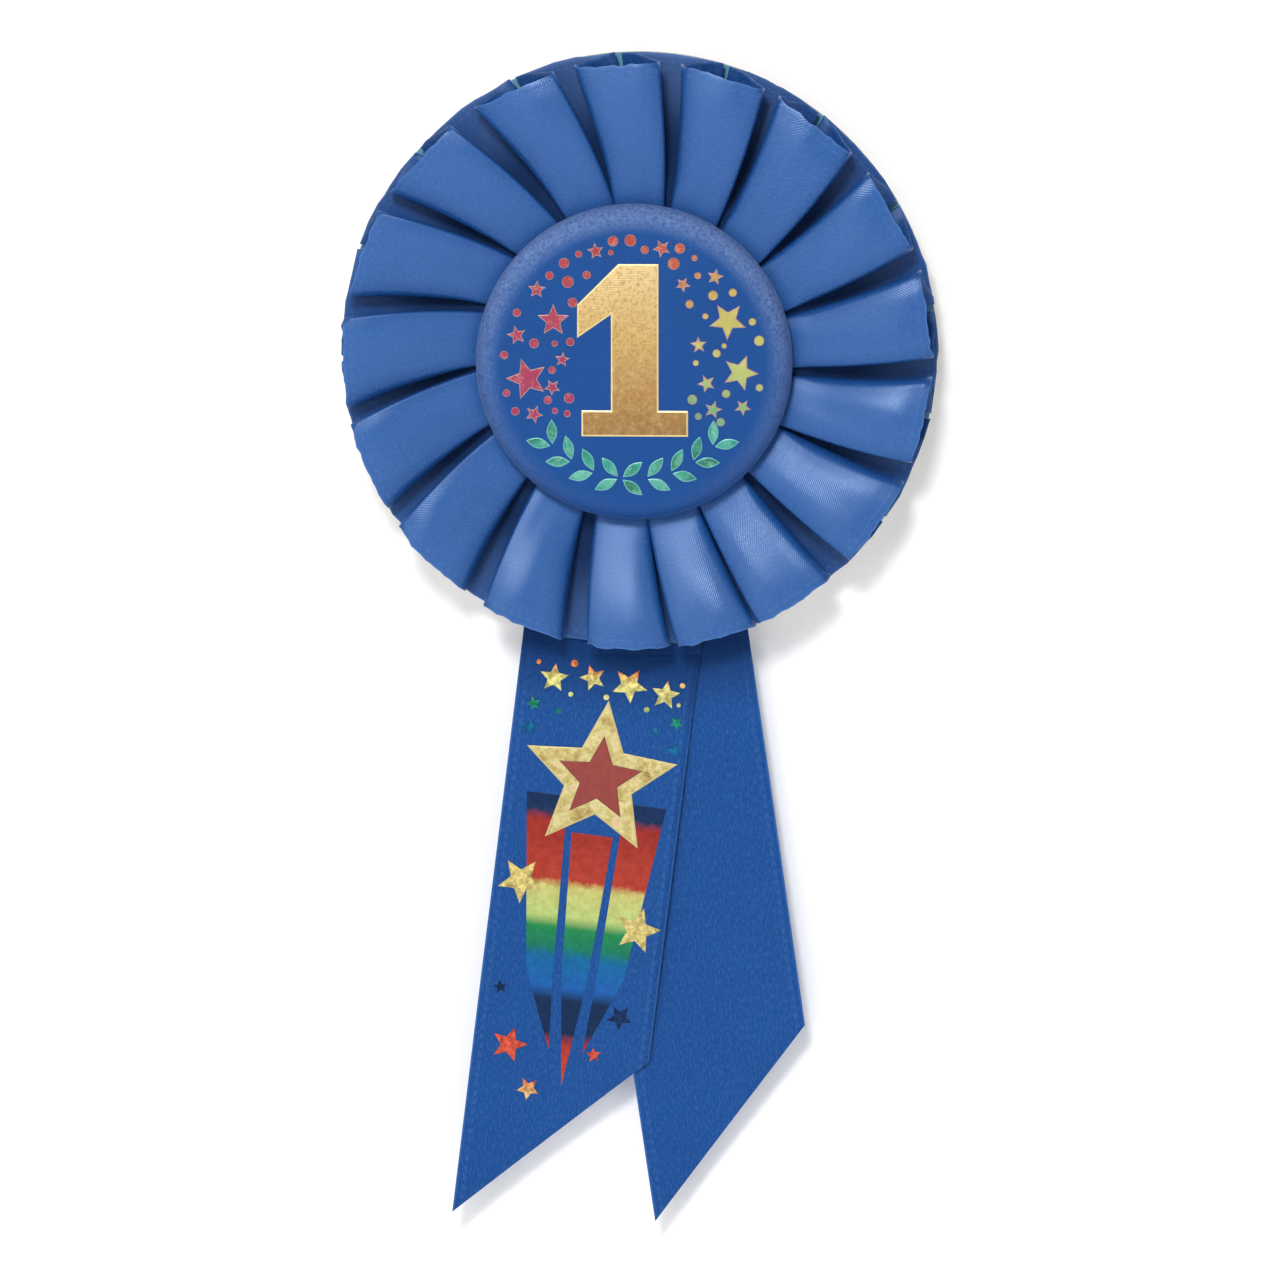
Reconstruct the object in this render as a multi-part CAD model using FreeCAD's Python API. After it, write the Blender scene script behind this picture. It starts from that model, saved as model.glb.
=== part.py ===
"""Award rosette: a pleated satin ring on a backing card, a fabric-covered button, two ribbon tails
and a bar pin on the back. Millimetres, +Z up, the front faces -Y.

The origin is the middle of the pin wire, where cloth is pierced. Most pieces are drawn in the
rosette's own frame, whose origin is the centre of the card's rear face, and are shifted when saved.
Heights h are measured from the card's rear face towards the front, so y = -h there.
"""

import FreeCAD
import Part
import math
import os

V = FreeCAD.Vector
FRONT = V(0, -1, 0)

# Driving dimensions
CARD_R = 41.5
CARD_T = 1.2
RIBBON_W = 25.0
RIBBON_T = 0.3
BUTTON_R = 22.0
PIN_WIRE_R = 0.4
PIN_ABOVE_CENTRE = 13.0
PAD_T = 0.9
BAR_T = 0.8
WIRE_ABOVE_BAR = 2.7

# Pleated ribbon ring
PLEATS = 17
PLEAT_PITCH = 360.0 / PLEATS
FIRST_PLEAT_DEG = 94.0
PLEAT_INNER_R = 17.0
PLEAT_REAR_H = 2.95
PLEAT_RIM_REAR_H = 2.3
PLEAT_INNER_FRONT_H = 4.3
PLEAT_RIM_FRONT_H = 8.2
VALLEY_APEX_R = 24.6
VALLEY_RIM_W = 3.8
VALLEY_FLOOR_H = 2.9
POCKET_DEPTH = 14.0
POCKET_RIM_W = 9.0
POCKET_END_W = 5.5
POCKET_REAR_H = 3.2
POCKET_RIM_FRONT_H = 7.4
POCKET_END_FRONT_H = 4.6
TINY = 0.01
CUT_MARGIN = 1.0

# Gathering card and its stitches. The pleats step down to the tails just outside the card.
GATHER_OUTER_R = 22.5
GATHER_REAR_H = 2.1
GATHER_T = 0.8
PLEAT_STEP_R = (23.0, 24.0)
STITCH_R = 0.17
STITCH_FROM_R = 17.4
STITCH_TO_R = 18.4

# Tails: ribbons that leave the rosette's lower edge, cut at 45 degrees
BACK_TAIL_H = 1.3
FRONT_TAIL_H = 1.75
HINGE_H = 1.675
HINGE_DROP = 42.7
TAIL_GAP_ABOVE = 0.6
TAIL_GAP_BELOW = 0.1
TAIL_TOP_DROP = 9.0
FRONT_TAIL = {"lean": -7.0, "centre_x": -4.05, "long_side": 81.9}
BACK_TAIL = {"lean": 8.3, "centre_x": 3.05, "long_side": 80.0}

# Staples through the card and both tails
STAPLE_R = 0.25
STAPLE_CROWN = 7.0
STAPLE_DROP = 13.0
STAPLE_X = (-6.0, 5.0)
CLINCH_LENGTH = 2.9

# Fabric-covered button, glued a little low of the card's centre
BUTTON_AT = (-0.5, -1.3)
BUTTON_FRONT_H = 10.6
BUTTON_REAR_H = 5.4
COVER_T = 0.35
BUTTON_CORNER_R = 4.0
PAD_REAR_H = 9.3
SHELL_T = 0.6
SHELL_WELL_R = 18.5
TUCK_DEPTH = 2.0
BACK_PLATE_H = (5.6, 6.4)
PLATE_GAP = 0.05
GLUE_R = 10.0

# Foil prints
FOIL_T = 0.12
STAR_WAIST = 0.45
NUMERAL_H = 24.0
NUMERAL_AT = (0.3, 2.0)
STEM_W = 6.6
STEM_CHAMFER = 1.0
FLAG_REACH = 8.0
FLAG_DROP = 8.0
FLAG_W = 4.6
NUMERAL_FOOT_W = 14.8
NUMERAL_FOOT_T = 3.6
BUTTON_STAR_TURN = 17
TAIL_STAR_TURN = 23
LEAF_STEP_DEG = 12.5
LEAF_PAIRS = 9
LEAF_RING_R = 15.9
LEAF_OFF_RING = 1.25
LEAF_LENGTH = 3.5
LEAF_W = 1.5
LEAF_SPREAD_DEG = 38
GARLAND_MIDDLE_DEG = 270

# Bar pin, drawn in the pin's own frame: the wire lies on the X axis
HINGE_X = -12.0
EYE_R = 1.5
EYE_T = 1.6
EYE_HOLE_R = 0.65
RIVET_R = 0.6
RIVET_HEAD_R = 1.05
RIVET_HEAD_T = 0.4
EAR_R = 1.7
EAR_T = 0.6
EAR_GAP = 1.8
SHOULDER_X = -10.0
SHOULDER_R = 0.6
TAPER_X = 10.0
TIP_X = 14.9
BAR_X = (-14.6, 17.0)
BAR_W = 5.0
SEW_HOLE_R = 0.8
SEW_HOLE_X = (-5.0, 5.0)
HOOK_X = (11.2, 15.6)
HOOK_BORE_R = 0.75
HOOK_R = 1.35
HOOK_MOUTH = 1.1
FOOT_T = 0.6
FOOT_W = 2.2
LOCK_BORE_R = 1.4
LOCK_R = 1.95
LOCK_END_PLAY = 0.1
LOCK_SLOT = 1.2
TAB_DEG = 36.0
TAB_T = 0.5
TAB_R = 3.6

CARD_REAR_Y = -(PAD_T + BAR_T + WIRE_ABOVE_BAR)
BAR_FRONT_Y = CARD_REAR_Y + PAD_T
BAR_REAR_Y = -WIRE_ABOVE_BAR
ROSETTE_AT = V(0, CARD_REAR_Y, -PIN_ABOVE_CENTRE)
PIN_AT = V(0, 0, 0)


def save(name, shape, at=ROSETTE_AT):
    """Writes one node, shifted from the frame it was drawn in to the part's frame."""
    shape.translate(at)
    shape.exportStep(f"parts/{name}.step")
    print(f"{name}: {shape.Volume:.2f} mm3, {len(shape.Solids)} solid(s), valid {shape.isValid()}")


def disc(radius, h0, h1, x=0.0, z=0.0):
    """A round plate facing the front, between two heights."""
    return Part.makeCylinder(radius, h1 - h0, V(x, -h0, z), FRONT)


def plate(outline, h0, h1):
    """A flat plate with a closed (x, z) outline, between two heights."""
    points = [V(x, -h0, z) for x, z in outline]
    face = Part.Face(Part.makePolygon(points + points[:1]))
    return face.extrude(FRONT * (h1 - h0))


def polar(radius, degrees, x=0.0, z=0.0):
    """An (x, z) point at an angle counted from +X towards +Z."""
    a = math.radians(degrees)
    return (x + radius * math.cos(a), z + radius * math.sin(a))


def revolve(profile, x=0.0, z=0.0):
    """A solid of revolution about the front axis from a closed (radius, h) profile."""
    points = [V(x + r, -h, z) for r, h in profile]
    face = Part.Face(Part.makePolygon(points + points[:1]))
    return face.revolve(V(x, 0, z), V(0, 1, 0), 360)


def frustum_between(near, far):
    """A solid lofted between two closed polygons of the same number of 3-D points."""
    wires = [Part.makePolygon(points + points[:1]) for points in (near, far)]
    return Part.makeLoft(wires, True, True)


# ---- backing card, gathering card and pleats ----

def staple_legs():
    """The straight legs that pierce the card, both tails and the gathering card."""
    front_h = GATHER_REAR_H + GATHER_T
    legs = [
        disc(STAPLE_R, 0, front_h, x + side * STAPLE_CROWN / 2, -STAPLE_DROP)
        for x in STAPLE_X
        for side in (-1, 1)
    ]
    return Part.makeCompound(legs)


def back_card():
    return disc(CARD_R, 0, CARD_T).cut(staple_legs())


def gather_card():
    return disc(GATHER_OUTER_R, GATHER_REAR_H, GATHER_REAR_H + GATHER_T).cut(staple_legs())


def valley():
    """The wedge that opens between two pleats, on the +X axis."""
    rim_r = CARD_R + CUT_MARGIN
    half = VALLEY_RIM_W / 2
    outline = [(VALLEY_APEX_R, 0), (rim_r, -half), (rim_r, half)]
    return plate(outline, VALLEY_FLOOR_H, PLEAT_RIM_FRONT_H + CUT_MARGIN)


def pocket():
    """The open loop of one pleat, seen from the rim, on the +X axis."""
    def section(radius, width, front_h):
        half = width / 2
        return [
            V(radius, -POCKET_REAR_H, -half),
            V(radius, -POCKET_REAR_H, half),
            V(radius, -front_h, half),
            V(radius, -front_h, -half),
        ]
    deep = section(CARD_R - POCKET_DEPTH, POCKET_END_W, POCKET_END_FRONT_H)
    rim = section(CARD_R + CUT_MARGIN, POCKET_RIM_W, POCKET_RIM_FRONT_H)
    return frustum_between(deep, rim)


def pleated_ribbon():
    """The ring of pleats: it rises from the button to the rim, with a valley between pleats."""
    ring = revolve([
        (PLEAT_INNER_R, PLEAT_REAR_H),
        (PLEAT_STEP_R[0], PLEAT_REAR_H),
        (PLEAT_STEP_R[1], PLEAT_RIM_REAR_H),
        (CARD_R, PLEAT_RIM_REAR_H),
        (CARD_R, PLEAT_RIM_FRONT_H),
        (PLEAT_INNER_R, PLEAT_INNER_FRONT_H),
    ])
    for k in range(PLEATS):
        centre = FIRST_PLEAT_DEG + k * PLEAT_PITCH
        loop, gap = pocket(), valley()
        loop.rotate(V(0, 0, 0), FRONT, centre)
        gap.rotate(V(0, 0, 0), FRONT, centre + PLEAT_PITCH / 2)
        ring = ring.cut(loop).cut(gap)
    return ring


def gather_stitches():
    """One short thread over the root of each pleat, under the button."""
    slope = (PLEAT_RIM_FRONT_H - PLEAT_INNER_FRONT_H) / (CARD_R - PLEAT_INNER_R)
    top = PLEAT_INNER_FRONT_H + slope * (STITCH_TO_R - PLEAT_INNER_R)
    threads = []
    for k in range(PLEATS):
        angle = FIRST_PLEAT_DEG + (k + 0.5) * PLEAT_PITCH
        x, z = polar(STITCH_FROM_R, angle)
        out_x, out_z = polar(1, angle)
        start = V(x, -(top + STITCH_R + TINY), z)
        threads.append(
            Part.makeCylinder(STITCH_R, STITCH_TO_R - STITCH_FROM_R, start, V(out_x, 0, out_z))
        )
    return Part.makeCompound(threads)


# ---- tails ----

def tail_frame(tail):
    """Unit vectors of a tail in (x, z): down its length, and across it to the right."""
    a = math.radians(tail["lean"])
    return (math.sin(a), -math.cos(a)), (math.cos(a), math.sin(a))


def tail_point(tail, across, down):
    """A point on a tail: across its width from the centre line, and down from the fold line."""
    d, n = tail_frame(tail)
    return (
        tail["centre_x"] + n[0] * across + d[0] * down,
        -HINGE_DROP + n[1] * across + d[1] * down,
    )


def on_level(tail, across, z):
    """The point of a lengthwise line of the tail at a given z."""
    d, n = tail_frame(tail)
    down = (z + HINGE_DROP - n[1] * across) / d[1]
    return tail_point(tail, across, down)


def tail_strip(tail, h, top_z, bottom=None):
    """A stretch of a tail from a level top to a level bottom, or to its 45 degree cut."""
    half = RIBBON_W / 2
    outline = [on_level(tail, -half, top_z), on_level(tail, half, top_z)]
    if bottom is None:
        long_side = tail["long_side"]
        outline += [tail_point(tail, half, long_side - RIBBON_W), tail_point(tail, -half, long_side)]
    else:
        outline += [on_level(tail, half, bottom), on_level(tail, -half, bottom)]
    return plate(outline, h, h + RIBBON_T)


def tail_top(tail, h):
    """The fixed stretch between the card and the pleats, pierced by the staples."""
    strip = tail_strip(tail, h, -TAIL_TOP_DROP, -HINGE_DROP + TAIL_GAP_ABOVE)
    return strip.cut(staple_legs())


def tail_staples():
    """Two wire staples: the crown on the gathering card, the legs clinched behind the card."""
    front_h = GATHER_REAR_H + GATHER_T
    staples = []
    for x in STAPLE_X:
        left, right = x - STAPLE_CROWN / 2, x + STAPLE_CROWN / 2
        crown = Part.makeCylinder(
            STAPLE_R, STAPLE_CROWN, V(left, -front_h - STAPLE_R, -STAPLE_DROP), V(1, 0, 0)
        )
        solid = crown
        for leg_x, inward in ((left, 1), (right, -1)):
            leg = disc(STAPLE_R, -STAPLE_R, front_h + STAPLE_R, leg_x, -STAPLE_DROP)
            clinch = Part.makeCylinder(
                STAPLE_R, CLINCH_LENGTH, V(leg_x, STAPLE_R, -STAPLE_DROP), V(inward, 0, 0)
            )
            knees = [
                Part.makeSphere(STAPLE_R, V(leg_x, y, -STAPLE_DROP))
                for y in (STAPLE_R, -front_h - STAPLE_R)
            ]
            solid = solid.fuse([leg, clinch, *knees])
        staples.append(solid)
    return Part.makeCompound(staples)


# ---- button ----

def cap(radius, rear_h, front_h, corner_r):
    """A round cap with a flat front and a rounded front corner, about the button's centre."""
    def at(r, h):
        return V(BUTTON_AT[0] + r, -h, BUTTON_AT[1])
    middle = corner_r * math.sin(math.radians(45))
    corner = Part.Arc(
        at(radius, front_h - corner_r),
        at(radius - corner_r + middle, front_h - corner_r + middle),
        at(radius - corner_r, front_h),
    ).toShape()
    edges = [
        Part.makeLine(at(0, rear_h), at(radius, rear_h)),
        Part.makeLine(at(radius, rear_h), at(radius, front_h - corner_r)),
        corner,
        Part.makeLine(at(radius - corner_r, front_h), at(0, front_h)),
        Part.makeLine(at(0, front_h), at(0, rear_h)),
    ]
    face = Part.Face(Part.Wire(edges))
    return face.revolve(V(BUTTON_AT[0], 0, BUTTON_AT[1]), V(0, 1, 0), 360)


def button_disc(radius, h0, h1):
    return disc(radius, h0, h1, *BUTTON_AT)


SHELL_R = BUTTON_R - COVER_T
TUCK_R = SHELL_R - SHELL_T
INSIDE_FRONT_H = BUTTON_FRONT_H - COVER_T
INSIDE_CORNER_R = BUTTON_CORNER_R - COVER_T


def button_inside():
    """Everything that the fabric wraps: the shell's and the pad's outer form."""
    return cap(SHELL_R, BUTTON_REAR_H + COVER_T, INSIDE_FRONT_H, INSIDE_CORNER_R)


def button_cover():
    """The fabric skin: over the front, round the edge, and tucked up inside the shell."""
    skin = cap(BUTTON_R, BUTTON_REAR_H, BUTTON_FRONT_H, BUTTON_CORNER_R).cut(button_inside())
    tuck = button_disc(TUCK_R, BUTTON_REAR_H, BUTTON_REAR_H + TUCK_DEPTH)
    tuck_h = (BUTTON_REAR_H - CUT_MARGIN, BUTTON_REAR_H + TUCK_DEPTH + CUT_MARGIN)
    hollow = button_disc(TUCK_R - COVER_T, *tuck_h)
    return skin.fuse(tuck).cut(hollow).removeSplitter()


def button_pad():
    """The thin foam disc between the shell's front and the fabric."""
    return button_inside().cut(button_disc(BUTTON_R + CUT_MARGIN, 0, PAD_REAR_H))


def button_shell():
    """The moulded cup that the fabric is stretched over."""
    form = button_inside().common(button_disc(BUTTON_R + CUT_MARGIN, 0, PAD_REAR_H))
    well = button_disc(SHELL_WELL_R, 0, PAD_REAR_H - SHELL_T)
    return form.cut([button_disc(TUCK_R, 0, BUTTON_REAR_H + TUCK_DEPTH), well])


def button_back():
    """The press-in plate that traps the fabric's edge inside the shell."""
    return button_disc(TUCK_R - COVER_T - PLATE_GAP, *BACK_PLATE_H)


def button_glue():
    return button_disc(GLUE_R, GATHER_REAR_H + GATHER_T, BACK_PLATE_H[0])


# ---- foil prints ----

def star(x, z, radius, turn=0.0):
    """The outline of a five-pointed star, one point up when turn is 0."""
    return [
        polar(radius if i % 2 == 0 else radius * STAR_WAIST, 90 + turn + 36 * i, x, z)
        for i in range(10)
    ]


def numeral_foil():
    """A plain block numeral 1 with a flag and a slab foot."""
    top, bottom = NUMERAL_H / 2, -NUMERAL_H / 2
    stem, foot, foot_top = STEM_W / 2, NUMERAL_FOOT_W / 2, bottom + NUMERAL_FOOT_T
    flag_middle = top - FLAG_DROP
    outline = [
        (stem, top),
        (-stem + STEM_CHAMFER, top),
        (-FLAG_REACH, flag_middle + FLAG_W / 2),
        (-FLAG_REACH, flag_middle - FLAG_W / 2),
        (-stem, flag_middle + STEM_CHAMFER),
        (-stem, foot_top),
        (-foot, foot_top),
        (-foot, bottom),
        (foot, bottom),
        (foot, foot_top),
        (stem, foot_top),
    ]
    x0, z0 = BUTTON_AT[0] + NUMERAL_AT[0], BUTTON_AT[1] + NUMERAL_AT[1]
    moved = [(x0 + x, z0 + z) for x, z in outline]
    return plate(moved, BUTTON_FRONT_H, BUTTON_FRONT_H + FOIL_T)


def on_button(radius, degrees):
    return polar(radius, degrees, *BUTTON_AT)


# (radius from the button's centre, angle, size) of the prints round the numeral
BUTTON_STARS = [
    (12.6, 151, 2.3), (14.8, 188, 3.0), (14.6, 25, 2.7), (15.0, -4, 2.6),
    (16.9, 142, 1.3), (16.6, 166, 1.4), (11.6, 196, 1.2), (15.4, 207, 1.3), (9.8, 176, 1.1),
    (16.6, 108, 1.2), (16.7, 76, 1.3), (13.2, 58, 1.1), (16.8, 47, 1.2), (9.6, 17, 1.2),
    (10.6, -14, 1.3), (16.4, -21, 1.2), (12.8, -29, 1.3),
]
BUTTON_DOTS = [
    (16.9, 133, 0.6), (17.0, 124, 0.75), (14.6, 128, 0.85), (17.1, 116, 0.5), (14.0, 117, 0.6),
    (17.4, 99, 0.75), (15.9, 101, 0.4), (17.3, 91, 0.85), (16.1, 84, 0.6), (17.5, 68, 0.75),
    (15.2, 68, 0.85), (17.2, 60, 0.45), (15.4, 54, 0.5), (14.8, 41, 0.7), (11.6, 47, 0.6),
    (17.2, 36, 0.6), (12.2, 34, 0.45), (17.7, 20, 0.55), (17.9, 11, 0.75), (11.8, 8, 0.6),
    (13.0, 12, 0.4), (17.9, -10, 0.55), (13.6, -17, 0.6), (9.6, -30, 0.7), (11.6, -38, 0.5),
    (14.6, -33, 0.6), (17.6, 156, 0.6), (14.0, 168, 0.7), (11.2, 165, 0.45), (17.9, 176, 0.6),
    (11.2, 184, 0.55), (18.0, 193, 0.55), (17.6, 202, 0.6), (12.8, 203, 0.6), (10.0, 208, 0.75),
    (12.6, 211, 0.45), (9.2, 160, 0.6), (12.0, 134, 0.7), (11.4, 217, 0.5), (8.8, 2, 0.45),
]


def button_foil_stars():
    prints = []
    for k, (radius, degrees, size) in enumerate(BUTTON_STARS):
        outline = star(*on_button(radius, degrees), size, turn=BUTTON_STAR_TURN * k)
        prints.append(plate(outline, BUTTON_FRONT_H, BUTTON_FRONT_H + FOIL_T))
    return Part.makeCompound(prints)


def button_foil_dots():
    prints = [
        disc(size, BUTTON_FRONT_H, BUTTON_FRONT_H + FOIL_T, *on_button(radius, degrees))
        for radius, degrees, size in BUTTON_DOTS
    ]
    return Part.makeCompound(prints)


def leaf(x, z, turn):
    """A pointed leaf outline of two arcs, as a face in the print's plane."""
    a = math.radians(turn)
    along, aside = (math.cos(a), math.sin(a)), (-math.sin(a), math.cos(a))

    def at(u, w):
        return V(x + along[0] * u + aside[0] * w, -BUTTON_FRONT_H, z + along[1] * u + aside[1] * w)
    root, tip = at(-LEAF_LENGTH / 2, 0), at(LEAF_LENGTH / 2, 0)
    sides = [Part.Arc(root, at(0, side * LEAF_W / 2), tip).toShape() for side in (1, -1)]
    return Part.Face(Part.Wire(sides))


def button_foil_leaves():
    """A garland along the button's lower edge: pairs of leaves that meet at the middle."""
    prints = []
    for k in range(LEAF_PAIRS):
        from_middle = (k - (LEAF_PAIRS - 1) / 2) * LEAF_STEP_DEG
        degrees = GARLAND_MIDDLE_DEG + from_middle
        sense = 1 if from_middle >= 0 else -1
        for side in (-1, 1):
            x, z = on_button(LEAF_RING_R + side * LEAF_OFF_RING, degrees)
            turn = degrees + sense * (90 - side * LEAF_SPREAD_DEG)
            prints.append(leaf(x, z, turn).extrude(FRONT * FOIL_T))
    return Part.makeCompound(prints)


TAIL_FOIL_H = FRONT_TAIL_H + RIBBON_T
BIG_STAR_AT = (0.6, 18.0)
BIG_STAR_R = 11.2
INNER_STAR_R = 6.2
STREAMER_LANE = 7.0
STREAMER_HALF_W = 2.9
SHOULDER_DOWN = 46.0
SHOULDER_LANE = 5.0
SHOULDER_HALF_W = 1.9
TIP_LANE = 2.4
# (lane from the middle one, how far down the top and the tip are) of each streamer
STREAMERS = [(-1, 21.0, 57.0), (0, 26.0, 62.0), (1, 21.0, 57.0)]
# (across, down from the fold line, size) of the small prints on the front tail
TAIL_STARS = [
    (-7.4, 4.6, 2.1), (-2.0, 3.9, 1.9), (3.2, 4.3, 2.6), (8.4, 5.0, 2.1),
    (-9.8, 8.6, 1.1), (10.4, 8.8, 1.1), (-10.0, 12.0, 1.3), (10.6, 12.6, 1.3),
    (-8.6, 33.6, 3.3), (8.6, 38.6, 3.3),
    (-9.6, 49.0, 1.0), (7.6, 51.2, 1.8), (-7.4, 57.0, 2.6), (4.6, 57.0, 1.1), (-4.0, 63.0, 1.7),
]
TAIL_DOTS = [
    (-9.8, 2.6, 0.35), (-4.8, 2.2, 0.5), (-4.8, 6.6, 0.35), (0.2, 6.4, 0.4), (6.0, 7.4, 0.4),
    (10.6, 3.4, 0.4), (10.4, 6.2, 0.3), (-6.2, 9.2, 0.4), (7.6, 10.2, 0.35),
]


def tail_print(outline):
    """A print on the front tail, from an outline in (across, down)."""
    moved = [tail_point(FRONT_TAIL, across, down) for across, down in outline]
    return plate(moved, TAIL_FOIL_H, TAIL_FOIL_H + FOIL_T)


def tail_star(across, down, radius, turn=0.0):
    """A star outline in (across, down), one point towards the rosette when turn is 0."""
    return [(x, -z) for x, z in star(across, -down, radius, turn)]


def tail_foil_star():
    gold = tail_print(tail_star(*BIG_STAR_AT, BIG_STAR_R))
    return gold.cut(tail_print(tail_star(*BIG_STAR_AT, INNER_STAR_R)))


def tail_foil_inner_star():
    return tail_print(tail_star(*BIG_STAR_AT, INNER_STAR_R))


def tail_foil_small_stars():
    prints = [
        tail_print(tail_star(across, down, size, turn=TAIL_STAR_TURN * k))
        for k, (across, down, size) in enumerate(TAIL_STARS)
    ]
    return Part.makeCompound(prints)


def tail_foil_dots():
    prints = [
        disc(size, TAIL_FOIL_H, TAIL_FOIL_H + FOIL_T, *tail_point(FRONT_TAIL, across, down))
        for across, down, size in TAIL_DOTS
    ]
    return Part.makeCompound(prints)


def tail_foil_streamers():
    """Three tapering streamers under the big star. The stars beside them are left clear."""
    prints = []
    for lane, top, tip in STREAMERS:
        middle, shoulder = lane * STREAMER_LANE, lane * SHOULDER_LANE
        outline = [
            (middle - STREAMER_HALF_W, top),
            (middle + STREAMER_HALF_W, top),
            (shoulder + SHOULDER_HALF_W, SHOULDER_DOWN),
            (lane * TIP_LANE, tip),
            (shoulder - SHOULDER_HALF_W, SHOULDER_DOWN),
        ]
        prints.append(tail_print([(BIG_STAR_AT[0] + across, down) for across, down in outline]))
    stars = [tail_foil_small_stars(), tail_foil_star(), tail_foil_inner_star()]
    return Part.makeCompound(prints).cut(stars)


# ---- bar pin, in its own frame ----

def pin_bar():
    """The stamped bar with rounded ends, two sewing holes and the pivot's ears."""
    half = BAR_W / 2
    bar = Part.makeBox(
        BAR_X[1] - BAR_X[0] - BAR_W, BAR_T, BAR_W, V(BAR_X[0] + half, BAR_FRONT_Y, -half)
    )
    ends = [
        Part.makeCylinder(half, BAR_T, V(x, BAR_FRONT_Y, 0), V(0, 1, 0))
        for x in (BAR_X[0] + half, BAR_X[1] - half)
    ]
    ears = []
    for z in (EAR_GAP / 2, -EAR_GAP / 2 - EAR_T):
        post = Part.makeBox(2 * EAR_R, WIRE_ABOVE_BAR, EAR_T, V(HINGE_X - EAR_R, BAR_REAR_Y, z))
        ears += [post, Part.makeCylinder(EAR_R, EAR_T, V(HINGE_X, 0, z), V(0, 0, 1))]
    bar = bar.fuse([*ends, *ears]).removeSplitter()
    rivet_hole = Part.makeCylinder(RIVET_R, 2 * BAR_W, V(HINGE_X, 0, -BAR_W), V(0, 0, 1))
    holes = [
        Part.makeCylinder(SEW_HOLE_R, 2 * BAR_T, V(x, BAR_FRONT_Y - BAR_T / 2, 0), V(0, 1, 0))
        for x in SEW_HOLE_X
    ]
    return bar.cut([rivet_hole, *holes])


def pin_pad():
    """The foam tape between the card and the bar."""
    inset = 0.6
    length = BAR_X[1] - BAR_X[0] - BAR_W
    return Part.makeBox(
        length, PAD_T, BAR_W - 2 * inset, V(BAR_X[0] + BAR_W / 2, CARD_REAR_Y, -BAR_W / 2 + inset)
    )


def pivot_rivet():
    reach = EAR_GAP / 2 + EAR_T
    shank = Part.makeCylinder(RIVET_R, 2 * reach, V(HINGE_X, 0, -reach), V(0, 0, 1))
    heads = [
        Part.makeCylinder(RIVET_HEAD_R, RIVET_HEAD_T, V(HINGE_X, 0, z), V(0, 0, 1))
        for z in (reach, -reach - RIVET_HEAD_T)
    ]
    return shank.fuse(heads)


def bore_and_rear_slot(start, length, bore_r, slot_w, tube_r):
    """What is cut from a tube along X: its bore, and a slot from the bore out to the rear."""
    start -= CUT_MARGIN
    length += 2 * CUT_MARGIN
    bore = Part.makeCylinder(bore_r, length, V(start, 0, 0), V(1, 0, 0))
    slot = Part.makeBox(length, tube_r + CUT_MARGIN, slot_w, V(start, 0, -slot_w / 2))
    return [bore, slot]


def catch_hook():
    """The fixed hook: a tube with a mouth to the rear, on a foot at each end."""
    length = HOOK_X[1] - HOOK_X[0]
    tube = Part.makeCylinder(HOOK_R, length, V(HOOK_X[0], 0, 0), V(1, 0, 0))
    feet = [
        Part.makeBox(FOOT_T, WIRE_ABOVE_BAR, FOOT_W, V(x, BAR_REAR_Y, -FOOT_W / 2))
        for x in (HOOK_X[0], HOOK_X[1] - FOOT_T)
    ]
    return tube.fuse(feet).cut(bore_and_rear_slot(HOOK_X[0], length, HOOK_BORE_R, HOOK_MOUTH, HOOK_R))


def catch_lock():
    """The turning sleeve round the hook, with a slot for the wire and a thumb tab."""
    start = HOOK_X[0] + FOOT_T + LOCK_END_PLAY
    length = HOOK_X[1] - FOOT_T - LOCK_END_PLAY - start
    sleeve = Part.makeCylinder(LOCK_R, length, V(start, 0, 0), V(1, 0, 0))
    tab = Part.makeBox(length, TAB_R, TAB_T, V(start, 0, -TAB_T / 2))
    tab.rotate(V(0, 0, 0), V(1, 0, 0), TAB_DEG)
    return sleeve.fuse(tab).cut(bore_and_rear_slot(start, length, LOCK_BORE_R, LOCK_SLOT, LOCK_R))


def pin_arm():
    """The spring-wire arm: an eye for the rivet, a shoulder, a straight shank and a long point."""
    eye = Part.makeCylinder(EYE_R, EYE_T, V(HINGE_X, 0, -EYE_T / 2), V(0, 0, 1))
    shoulder = Part.makeCylinder(SHOULDER_R, SHOULDER_X - HINGE_X, V(HINGE_X, 0, 0), V(1, 0, 0))
    shank = Part.makeCylinder(PIN_WIRE_R, TAPER_X - HINGE_X, V(HINGE_X, 0, 0), V(1, 0, 0))
    tip_r = 0.05
    point = Part.makeCone(PIN_WIRE_R, tip_r, TIP_X - TAPER_X, V(TAPER_X, 0, 0), V(1, 0, 0))
    hole = Part.makeCylinder(EYE_HOLE_R, 2 * EYE_T, V(HINGE_X, 0, -EYE_T), V(0, 0, 1))
    return eye.fuse([shoulder, shank, point]).cut(hole)


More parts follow.
